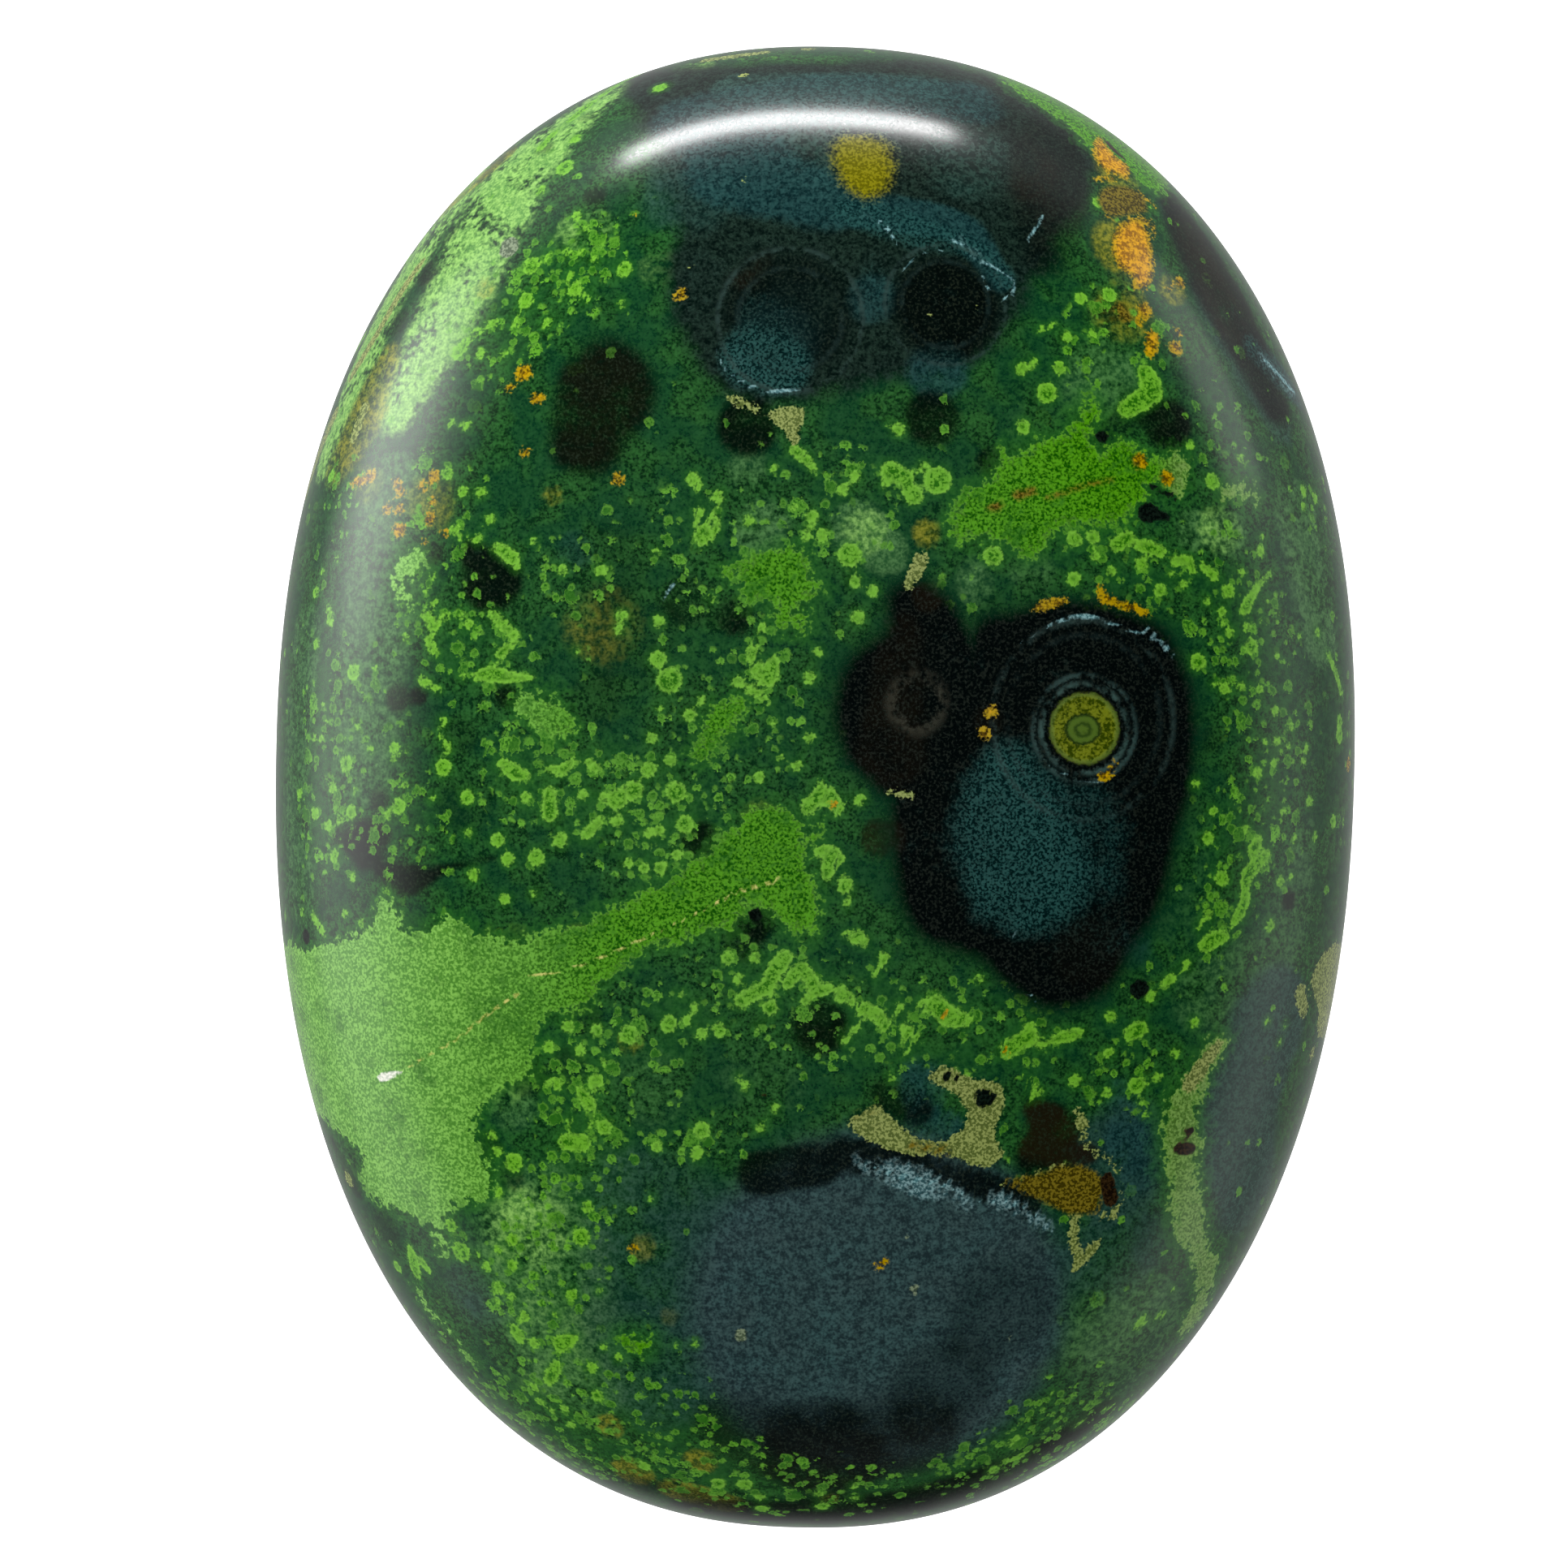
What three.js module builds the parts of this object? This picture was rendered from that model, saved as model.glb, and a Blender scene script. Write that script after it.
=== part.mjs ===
// A palm stone: one egg-shaped pebble of kambaba jasper, ground and polished all over, lying on its back.
// Millimetres, +Z up. The origin is under the middle of the stone, on the flat spot that it rests on.
// +Y points to the blunt end and +Z out of the face that is looked at.
import * as THREE from "three";

// Driving dimensions
const LENGTH = 64;
const WIDTH = 46.6;
const BLUNT_END = 30.7; // from the widest row to the blunt end; the rest of the length is the slimmer end
const FACE_RISE = 13; // from the girdle, the widest level, up to the crown of the face
const BACK_DROP = 12; // from the girdle down to the flat spot
const SPOT_SHARE = 0.22; // the flat spot's reach, as a share of the outline's

// Powers of the curves: 2 is an ellipse, and more is squarer
const OUTLINE_POWER = 2.24; // the outline, seen from above
const DOME_POWER = 2.7; // the flattish middle of the face and the back
const GIRDLE_POWER = 2.1; // the upright side at the girdle

// The crown of the face sits a little off the middle, as hand grinding leaves it
const CROWN_SHIFT = new THREE.Vector2(-0.7, 1.1);

// Facets
const SEGMENTS = 72;
const FACE_ROWS = 18;
const BACK_ROWS = 16;
const CURVE_SAMPLES = 400;

const WIDEST_Y = LENGTH / 2 - BLUNT_END;
const SLIM_END = LENGTH - BLUNT_END;

// How far the outline reaches from the widest row's middle, in the direction of an angle
function outlineReach(angle) {
  const across = Math.abs(Math.cos(angle)) / (WIDTH / 2);
  const along = Math.abs(Math.sin(angle)) / (Math.sin(angle) > 0 ? BLUNT_END : SLIM_END);
  return (across ** OUTLINE_POWER + along ** OUTLINE_POWER) ** (-1 / OUTLINE_POWER);
}

// Height above the girdle at a share of the outline's reach, for a dome of a given rise
function domeHeight(share, rise) {
  return rise * Math.max(0, 1 - share ** DOME_POWER) ** (1 / GIRDLE_POWER);
}

// A dome's profile from the girdle in to a share, as evenly spaced points of (share, height)
function domeProfile(rise, innerShare, rows) {
  const mean = (WIDTH + LENGTH) / 4;
  const lowest = Math.asin(innerShare ** (DOME_POWER / 2));
  const fine = [];
  for (let i = 0; i <= CURVE_SAMPLES; i += 1) {
    const turn = THREE.MathUtils.lerp(Math.PI / 2, lowest, i / CURVE_SAMPLES);
    const share = Math.sin(turn) ** (2 / DOME_POWER);
    fine.push(new THREE.Vector2(share * mean, i === 0 ? 0 : domeHeight(share, rise)));
  }
  const curve = new THREE.CurvePath();
  for (let i = 0; i < CURVE_SAMPLES; i += 1) {
    curve.add(new THREE.LineCurve(fine[i], fine[i + 1]));
  }
  const points = [];
  for (let row = 0; row <= rows; row += 1) {
    const point = curve.getPointAt(row / rows);
    points.push(new THREE.Vector2(point.x / mean, point.y));
  }
  return points;
}

// The closed profile from the flat spot's middle, round the girdle, to the crown
function stoneProfile() {
  const fullDrop = BACK_DROP / domeHeight(SPOT_SHARE, 1);
  const back = domeProfile(fullDrop, SPOT_SHARE, BACK_ROWS)
    .reverse()
    .map((point) => new THREE.Vector2(point.x, BACK_DROP - point.y));
  const face = domeProfile(FACE_RISE, 0, FACE_ROWS).map(
    (point) => new THREE.Vector2(point.x, BACK_DROP + point.y),
  );
  back[0].y = 0;
  face[FACE_ROWS].x = 0;
  return [new THREE.Vector2(0, 0), ...back, ...face.slice(1)];
}

// The profile is turned about the vertical, and each ring is then pressed out to the egg-shaped outline
function stoneGeometry() {
  const geometry = new THREE.LatheGeometry(stoneProfile(), SEGMENTS);
  geometry.rotateX(Math.PI / 2);
  const position = geometry.getAttribute("position");
  const point = new THREE.Vector3();
  for (let i = 0; i < position.count; i += 1) {
    point.fromBufferAttribute(position, i);
    const share = Math.hypot(point.x, point.y);
    const angle = Math.atan2(point.y, point.x);
    const reach = share * outlineReach(angle);
    const rise = Math.max(0, (point.z - BACK_DROP) / FACE_RISE) ** 2;
    position.setXYZ(
      i,
      reach * Math.cos(angle) + CROWN_SHIFT.x * rise,
      reach * Math.sin(angle) + WIDEST_Y + CROWN_SHIFT.y * rise,
      point.z,
    );
  }
  geometry.computeVertexNormals();
  return geometry;
}

const polishedJasper = new THREE.MeshStandardMaterial({
  name: "polished_kambaba_jasper",
  color: new THREE.Color(0.13, 0.27, 0.15),
  roughness: 0.25,
  metalness: 0,
});

const palmStone = new THREE.Mesh(stoneGeometry(), polishedJasper);
palmStone.name = "palm_stone";

const stone = new THREE.Group();
stone.add(palmStone);

export default stone;
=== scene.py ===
# A polished kambaba jasper palm stone, lying on its back on a pale studio floor.
# One fine mesh of the stone's form stands for the CAD solid. Its markings are listed as areas, strokes
# and dots in millimetres, as seen from above. Each kind of marking is one attribute of the mesh, and the
# material turns it into colour with ragged edges and grain.
import math

import bpy
import numpy as np
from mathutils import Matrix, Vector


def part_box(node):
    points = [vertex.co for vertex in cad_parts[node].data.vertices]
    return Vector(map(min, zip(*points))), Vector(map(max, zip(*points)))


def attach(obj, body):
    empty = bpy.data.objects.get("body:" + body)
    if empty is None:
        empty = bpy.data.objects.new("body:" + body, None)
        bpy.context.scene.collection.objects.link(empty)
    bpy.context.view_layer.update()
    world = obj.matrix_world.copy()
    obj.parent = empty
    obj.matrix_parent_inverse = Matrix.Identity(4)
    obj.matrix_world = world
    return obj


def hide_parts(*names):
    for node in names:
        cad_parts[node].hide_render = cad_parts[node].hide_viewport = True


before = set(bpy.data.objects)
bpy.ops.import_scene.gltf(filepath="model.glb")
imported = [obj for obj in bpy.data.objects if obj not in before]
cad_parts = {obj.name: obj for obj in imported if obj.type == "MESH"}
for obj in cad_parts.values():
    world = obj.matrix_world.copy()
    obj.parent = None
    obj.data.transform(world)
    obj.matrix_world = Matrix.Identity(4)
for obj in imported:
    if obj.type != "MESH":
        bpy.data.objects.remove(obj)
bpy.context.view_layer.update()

MM = 0.001

# The stone's form in millimetres, as in the CAD: its size comes from the CAD part's box, the rest is repeated
# here
LOW, HIGH = (np.array(corner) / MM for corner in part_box("palm_stone"))
WIDTH, LENGTH, THICKNESS = HIGH - LOW
BLUNT_END = 30.7  # from the widest row to the blunt end
SLIM_END = LENGTH - BLUNT_END
WIDEST_Y = LENGTH / 2 - BLUNT_END
BACK_DROP = 12.0  # from the girdle down to the flat spot
FACE_RISE = THICKNESS - BACK_DROP
SPOT_SHARE = 0.22  # the flat spot's reach, as a share of the outline's
OUTLINE_POWER = 2.24
DOME_POWER = 2.7
GIRDLE_POWER = 2.1
CROWN_SHIFT = np.array([-0.7, 1.1])  # how far the crown lies off the middle
MEAN_REACH = (WIDTH + LENGTH) / 4

# Fineness of the mesh and of the curves
GRID = 220
CURVE_SAMPLES = 2000
LIFT_ROUNDS = 12  # rounds that find how far the crown's shift moves a point of the plan
STROKE_STEP = 0.7  # between the samples of a smooth path
THINNEST = 0.02  # half-width of the thinnest stroke
FAR = 9.0  # the depth of a marking is no lower than minus this
TINY = 1e-9  # keeps a divisor off zero, and tells the rim from the rest
SOFT_EDGE = 0.5  # share of a soft stroke's reach over which it fades


def outline_reach(angle):
    """How far the outline reaches from the widest row's middle, in the direction of an angle."""
    along = np.where(np.sin(angle) > 0, BLUNT_END, SLIM_END)
    powers = np.abs(np.cos(angle) / (WIDTH / 2)) ** OUTLINE_POWER
    powers = powers + np.abs(np.sin(angle) / along) ** OUTLINE_POWER
    return powers ** (-1 / OUTLINE_POWER)


def dome_height(share, rise):
    """Height over the girdle at a share of the outline's reach."""
    return rise * np.maximum(0, 1 - share ** DOME_POWER) ** (1 / GIRDLE_POWER)


FULL_DROP = BACK_DROP / dome_height(SPOT_SHARE, 1)


def profile(rise):
    """A dome's profile from the middle out to the girdle: shares of the outline's reach, and heights."""
    turn = np.linspace(0, math.pi / 2, CURVE_SAMPLES)
    share = np.sin(turn) ** (2 / DOME_POWER)
    height = rise * np.cos(turn).clip(0) ** (2 / GIRDLE_POWER)
    return share, height


def run_along(share, height):
    """Distance along a profile from its first point."""
    steps = np.hypot(np.diff(share * MEAN_REACH), np.diff(height))
    return np.concatenate([[0], np.cumsum(steps)])


FACE_SHARE, FACE_HEIGHT = profile(FACE_RISE)
FACE_RUN = run_along(FACE_SHARE, FACE_HEIGHT)
BACK_SHARE, BACK_DEPTH = profile(FULL_DROP)
BACK_DEPTH = np.minimum(BACK_DEPTH, BACK_DROP)
BACK_RUN = run_along(BACK_SHARE, BACK_DEPTH)


def place(share, angle, z):
    """Points of the stone at shares of the outline's reach, with the crown a little off the middle."""
    reach = share * outline_reach(angle)
    rise = np.maximum(0, (z - BACK_DROP) / FACE_RISE) ** 2
    x = reach * np.cos(angle) + CROWN_SHIFT[0] * rise
    y = reach * np.sin(angle) + WIDEST_Y + CROWN_SHIFT[1] * rise
    return np.stack([x, y, z], axis=-1)


def lift(plan):
    """Puts plan points on the face. Points past the outline wrap round the girdle onto the back."""
    plan = np.asarray(plan, float)
    rise = np.zeros(len(plan))
    for _ in range(LIFT_ROUNDS):
        centred = plan - [0, WIDEST_Y] - CROWN_SHIFT * rise[:, None]
        angle = np.arctan2(centred[:, 1], centred[:, 0])
        radius = np.hypot(centred[:, 0], centred[:, 1])
        reach = outline_reach(angle)
        share = np.minimum(1, radius / reach)
        rise = (dome_height(share, FACE_RISE) / FACE_RISE) ** 2
    past = np.maximum(0, radius - reach)
    back_run = BACK_RUN[-1] - past
    z = BACK_DROP + dome_height(share, FACE_RISE)
    z = np.where(past > 0, BACK_DROP - np.interp(back_run, BACK_RUN, BACK_DEPTH), z)
    share = np.where(past > 0, np.interp(back_run, BACK_RUN, BACK_SHARE), share)
    return place(share, angle, z)


def square_to_disc(steps):
    """An even grid on a square, pressed out to a disc: its radii, 0 to 1, and angles."""
    line = np.linspace(-1, 1, steps + 1)
    u, v = np.meshgrid(line, line, indexing="ij")
    radius = np.maximum(np.abs(u), np.abs(v))
    safe_u = np.where(u == 0, 1, u)
    safe_v = np.where(v == 0, 1, v)
    wide = np.abs(u) >= np.abs(v)
    turn = np.where(wide, v / safe_u * math.pi / 4, math.pi / 2 - u / safe_v * math.pi / 4)
    turn = turn + np.where(np.where(wide, u, v) < 0, math.pi, 0)
    along = np.where(np.sin(turn) > 0, BLUNT_END, SLIM_END)
    angle = np.arctan2(along * np.sin(turn), WIDTH / 2 * np.cos(turn))
    return radius, angle


def stone_points():
    """Vertices of the face's grid, then of the back's grid, and where each lies in the wrapped plan."""
    radius, angle = square_to_disc(GRID)
    run = radius * FACE_RUN[-1]
    level = BACK_DROP + np.interp(run, FACE_RUN, FACE_HEIGHT)
    face = place(np.interp(run, FACE_RUN, FACE_SHARE), angle, level)
    run = radius * BACK_RUN[-1]
    level = BACK_DROP - np.interp(run, BACK_RUN, BACK_DEPTH)
    back = place(np.interp(run, BACK_RUN, BACK_SHARE), angle, level)
    wrapped = outline_reach(angle) + BACK_RUN[-1] - run
    wrapped = np.stack([wrapped * np.cos(angle), wrapped * np.sin(angle) + WIDEST_Y], axis=-1)
    return face.reshape(-1, 3), back.reshape(-1, 3), wrapped.reshape(-1, 2), radius.ravel()


def stone_mesh():
    """The fine mesh in metres, with its vertices in millimetres and their places in the wrapped plan."""
    face, back, wrapped, radius = stone_points()
    count = len(face)
    inner = radius < 1 - TINY
    back_index = np.arange(count)
    back_index[inner] = count + np.arange(inner.sum())
    points = np.concatenate([face, back[inner]])
    plan = np.concatenate([face[:, :2], wrapped[inner]])
    corner = np.arange(count).reshape(GRID + 1, GRID + 1)
    corners = [corner[:-1, :-1], corner[1:, :-1], corner[1:, 1:], corner[:-1, 1:]]
    quads = np.stack(corners, axis=-1).reshape(-1, 4)
    quads = np.concatenate([quads, back_index[quads[:, ::-1]]])
    mesh = bpy.data.meshes.new("palm_stone_polished")
    mesh.from_pydata((points * MM).tolist(), [], quads.tolist())
    mesh.update()
    mesh.shade_smooth()
    return mesh, points, plan


mesh, POINTS, PLAN = stone_mesh()


def smooth_path(points, closed=False):
    """A smooth curve through given points, as close samples. A half-width may follow x and y."""
    points = np.asarray(points, float)
    if len(points) < 2:
        return points
    if closed:
        padded = np.concatenate([points[-1:], points, points[:2]])
    else:
        padded = np.concatenate([2 * points[:1] - points[1:2], points, 2 * points[-1:] - points[-2:-1]])
    samples = []
    for before, start, end, after in zip(padded, padded[1:], padded[2:], padded[3:]):
        count = max(1, math.ceil(math.dist(start[:2], end[:2]) / STROKE_STEP))
        for t in np.arange(count) / count:
            bend = 2 * before - 5 * start + 4 * end - after
            twist = 3 * start - before - 3 * end + after
            samples.append(start + t * (end - before) / 2 + t * t * bend / 2 + t ** 3 * twist / 2)
    if not closed:
        samples.append(points[-1])
    return np.array(samples)


def segment_depth(start, end, start_radius, end_radius):
    """How deep each vertex lies inside a tapered line between two points, in millimetres."""
    along = end - start
    t = np.clip((POINTS - start) @ along / max(along @ along, TINY), 0, 1)
    offset = POINTS - start - t[:, None] * along
    return start_radius + t * (end_radius - start_radius) - np.sqrt(np.einsum("ij,ij->i", offset, offset))


def stroke_depth(stroke):
    """Depth inside one stroke: a list of (x, y, half-width), or one such point for a dot."""
    path = smooth_path([stroke] if isinstance(stroke, tuple) else stroke)
    spots = lift(path[:, :2])
    radii = np.maximum(path[:, 2], THINNEST)
    depth = segment_depth(spots[0], spots[0], radii[0], radii[0])
    for i in range(len(path) - 1):
        depth = np.maximum(depth, segment_depth(spots[i], spots[i + 1], radii[i], radii[i + 1]))
    return depth


def strokes_depth(strokes):
    """Depth inside any of the strokes."""
    depth = np.full(len(POINTS), -FAR)
    for stroke in strokes:
        depth = np.maximum(depth, stroke_depth(stroke))
    return depth


def inside(outline):
    """Which vertices lie inside a closed outline of the wrapped plan."""
    found = np.zeros(len(PLAN), bool)
    for (x0, y0), (x1, y1) in zip(outline, np.roll(outline, -1, axis=0)):
        crosses = (y0 > PLAN[:, 1]) != (y1 > PLAN[:, 1])
        rise = y1 - y0 if y1 != y0 else 1
        found ^= crosses & (PLAN[:, 0] < x0 + (PLAN[:, 1] - y0) * (x1 - x0) / rise)
    return found


def area_depth(outline):
    """Depth inside a closed outline, measured on the stone; it is negative outside."""
    path = smooth_path(outline, closed=True)
    spots = lift(path)
    nearest = np.full(len(POINTS), -FAR)
    for start, end in zip(spots, np.roll(spots, -1, axis=0)):
        nearest = np.maximum(nearest, segment_depth(start, end, 0, 0))
    return np.where(inside(path), -nearest, nearest)


def areas_depth(outlines):
    """Depth inside any of the outlines."""
    depth = np.full(len(POINTS), -FAR)
    for outline in outlines:
        depth = np.maximum(depth, area_depth(outline))
    return depth


def soft_field(strokes):
    """Strength from 0 to 1 that fades from the middle of each stroke (x, y, reach, strength) to its edge."""
    field = np.zeros(len(POINTS))
    for stroke in strokes:
        points = [stroke] if isinstance(stroke, tuple) else stroke
        reach = max(point[2] for point in points)
        depth = stroke_depth([point[:3] for point in points] if len(points) > 1 else points[0][:3])
        share = np.clip(depth / (reach * SOFT_EDGE), 0, 1)
        field = 1 - (1 - field) * (1 - points[0][3] * share * share * (3 - 2 * share))
    return field


def attribute(name, values):
    """Keeps one kind of marking on the mesh for the material."""
    layer = mesh.attributes.new(name, "FLOAT", "POINT")
    layer.data.foreach_set("value", values.astype(np.float32))


# Bright green areas, as outlines. Points past the stone's outline lie below the girdle.
ARROW_AREA = [
    (-27, -7.5), (-23.2, -7.2), (-21.7, -7.4), (-20.5, -7.0), (-19.5, -6.6), (-18.7, -6.2), (-18.3, -5.0),
    (-17.8, -5.6), (-17.3, -6.7), (-16.6, -6.6), (-15.6, -5.9), (-14.8, -6.3), (-14.2, -6.8),
    (-13.4, -6.5), (-12.5, -6.8), (-10.8, -6.3), (-9.8, -6.2), (-9.2, -5.8), (-8.5, -5.3), (-7.8, -5.0),
    (-7.0, -4.5), (-6.2, -4.4), (-5.6, -3.6), (-4.3, -2.9), (-3.6, -1.9), (-3.0, -1.1), (-2.3, -0.9),
    (-1.6, -0.85), (-0.8, -1.4), (-0.4, -2.1), (-0.5, -2.8), (0.0, -4.0), (0.2, -5.3), (0.0, -6.3),
    (-0.9, -6.0), (-1.7, -5.5), (-2.4, -4.9), (-3.0, -5.3), (-3.5, -6.2), (-4.7, -6.4), (-5.4, -6.8),
    (-7.2, -7.1), (-8.2, -7.8), (-9.0, -8.8), (-9.9, -9.7), (-11.4, -10.1), (-11.9, -11.3),
    (-11.7, -12.3), (-12.8, -13.0), (-14.0, -14.0), (-14.2, -15.5), (-13.3, -16.8), (-13.6, -17.8),
    (-15.1, -18.1), (-15.4, -18.8), (-16.5, -18.9), (-17.6, -18.5), (-18.5, -18.0), (-19.1, -17.3),
    (-19.0, -16.3), (-20.2, -15.2), (-21.4, -14.6), (-23.8, -15.5), (-27.0, -13.0),
]
UPPER_RIGHT_AREA = [
    (5.5, 10.9), (5.6, 11.8), (6.2, 12.7), (6.9, 13.1), (7.4, 13.7), (7.7, 14.5), (8.3, 14.3),
    (9.1, 15.0), (10.1, 15.1), (10.6, 15.7), (11.3, 16.7), (11.8, 16.2), (11.4, 15.2), (12.0, 14.5),
    (12.7, 15.0), (13.5, 14.7), (14.1, 14.3), (14.8, 14.5), (15.5, 14.1), (15.5, 13.2), (15.1, 12.8),
    (14.3, 13.2), (13.7, 13.2), (13.9, 12.7), (13.5, 12.3), (13.1, 11.7), (12.2, 11.6), (11.4, 11.4),
    (10.4, 11.4), (9.8, 10.9), (9.2, 10.1), (8.6, 10.0), (8.2, 10.6), (6.8, 10.6), (5.9, 10.5),
]
CENTRE_AREA = [
    (-3.6, 9.3), (-3.0, 9.6), (-2.3, 9.9), (-1.3, 10.2), (-0.6, 9.8), (-0.5, 9.0), (0.0, 8.4),
    (-0.6, 7.9), (-0.9, 7.7), (-0.5, 7.1), (-0.8, 6.5), (-1.2, 7.0), (-1.6, 6.7), (-2.0, 7.2),
    (-1.8, 7.9), (-2.4, 8.1), (-3.1, 7.9), (-3.2, 8.8),
]
RIBBON_AREA = [
    (17.8, -10.3), (17.0, -10.8), (16.1, -12.0), (15.4, -12.9), (15.1, -14.2), (15.2, -15.6),
    (15.5, -16.8), (15.8, -18.3), (16.0, -19.2), (16.6, -19.8), (16.95, -20.8), (16.85, -21.7),
    (16.4, -22.6), (16.2, -23.2), (16.8, -22.9), (17.3, -22.0), (17.6, -20.9), (17.65, -20.0),
    (17.3, -19.3), (17.1, -18.2), (16.9, -17.0), (16.7, -16.0), (16.8, -14.9), (16.6, -13.6),
    (16.8, -12.4), (17.3, -11.4),
]
SCALLOP_AREA = [
    (17.1, 12.7), (17.3, 13.2), (17.9, 13.5), (18.4, 13.2), (18.7, 12.6), (18.3, 12.8), (17.7, 12.9),
]
BOTTOM_SCRAP = [(-7.8, -23.6), (-6.6, -23.6), (-6.5, -24.3), (-6.9, -24.55), (-7.4, -24.2)]
RIM_PATCH = [
    (7.4, 31.6), (7.6, 30.4), (9.4, 29.3), (11.0, 28.0), (12.6, 26.9), (14.2, 26.0), (14.4, 27.4),
    (12.6, 28.8), (10.6, 30.2), (9.0, 31.4),
]
BACK_AREAS = [
    [(-27.0, 3.0), (-29.0, 6.0), (-32.0, 8.4), (-35.0, 7.4), (-38.0, 9.4), (-41.0, 6.0), (-37.0, 4.4),
     (-34.0, 4.0), (-31.0, 1.6), (-28.4, 0.6)],
    [(27.0, -8.0), (30.0, -9.6), (33.4, -14.6), (36.0, -16.0), (33.0, -19.4), (29.4, -16.2),
     (26.4, -12.0)],
    [(3.0, 36.0), (6.0, 38.4), (9.6, 38.0), (12.4, 41.6), (8.4, 44.0), (4.6, 41.4), (1.6, 39.6)],
]
BRIGHT_AREAS = [
    ARROW_AREA, UPPER_RIGHT_AREA, CENTRE_AREA, RIBBON_AREA, SCALLOP_AREA, BOTTOM_SCRAP, RIM_PATCH,
] + BACK_AREAS

# Bright strokes beside those areas
BRIGHT_STROKES = [
    [(-17.2, 9.5, 0.4), (-17.7, 8.9, 0.55), (-18.0, 8.2, 0.4), (-17.5, 7.4, 0.2)],
    [(-12.4, 3.2, 0.4), (-11.4, 2.8, 0.7), (-10.7, 2.3, 0.45)],
    [(-3.3, 3.4, 0.3), (-3.9, 2.9, 0.55), (-4.5, 2.4, 0.4), (-4.2, 3.0, 0.4)],
    [(-4.4, 2.1, 0.25), (-4.9, 1.3, 0.25)], [(-4.15, 9.15, 0.12), (-3.7, 8.95, 0.15)],
    [(-15.7, -18.9, 0.4), (-15.6, -19.6, 0.35), (-15.5, -20.2, 0.2)],
    [(-0.5, -2.6, 0.25), (-0.1, -2.1, 0.15), (0.3, -1.6, 0.08)],
    [(-16.5, -22.0, 0.08), (-16.1, -22.9, 0.08), (-15.4, -23.4, 0.08), (-14.9, -24.1, 0.08),
     (-14.3, -24.9, 0.08)],
]

# Places where the arrow's ragged edge is broken by dark, and round dark grains elsewhere
INK = [
    (-2.4, -5.5, 0.3), (11.9, 15.2, 0.3), (13.9, 12.0, 0.45), (-21.7, -6.9, 0.35),
    [(14.0, 13.15, 0.12), (15.1, 12.65, 0.14)], [(14.0, 12.0, 0.3), (14.8, 11.8, 0.16)],
]

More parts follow.
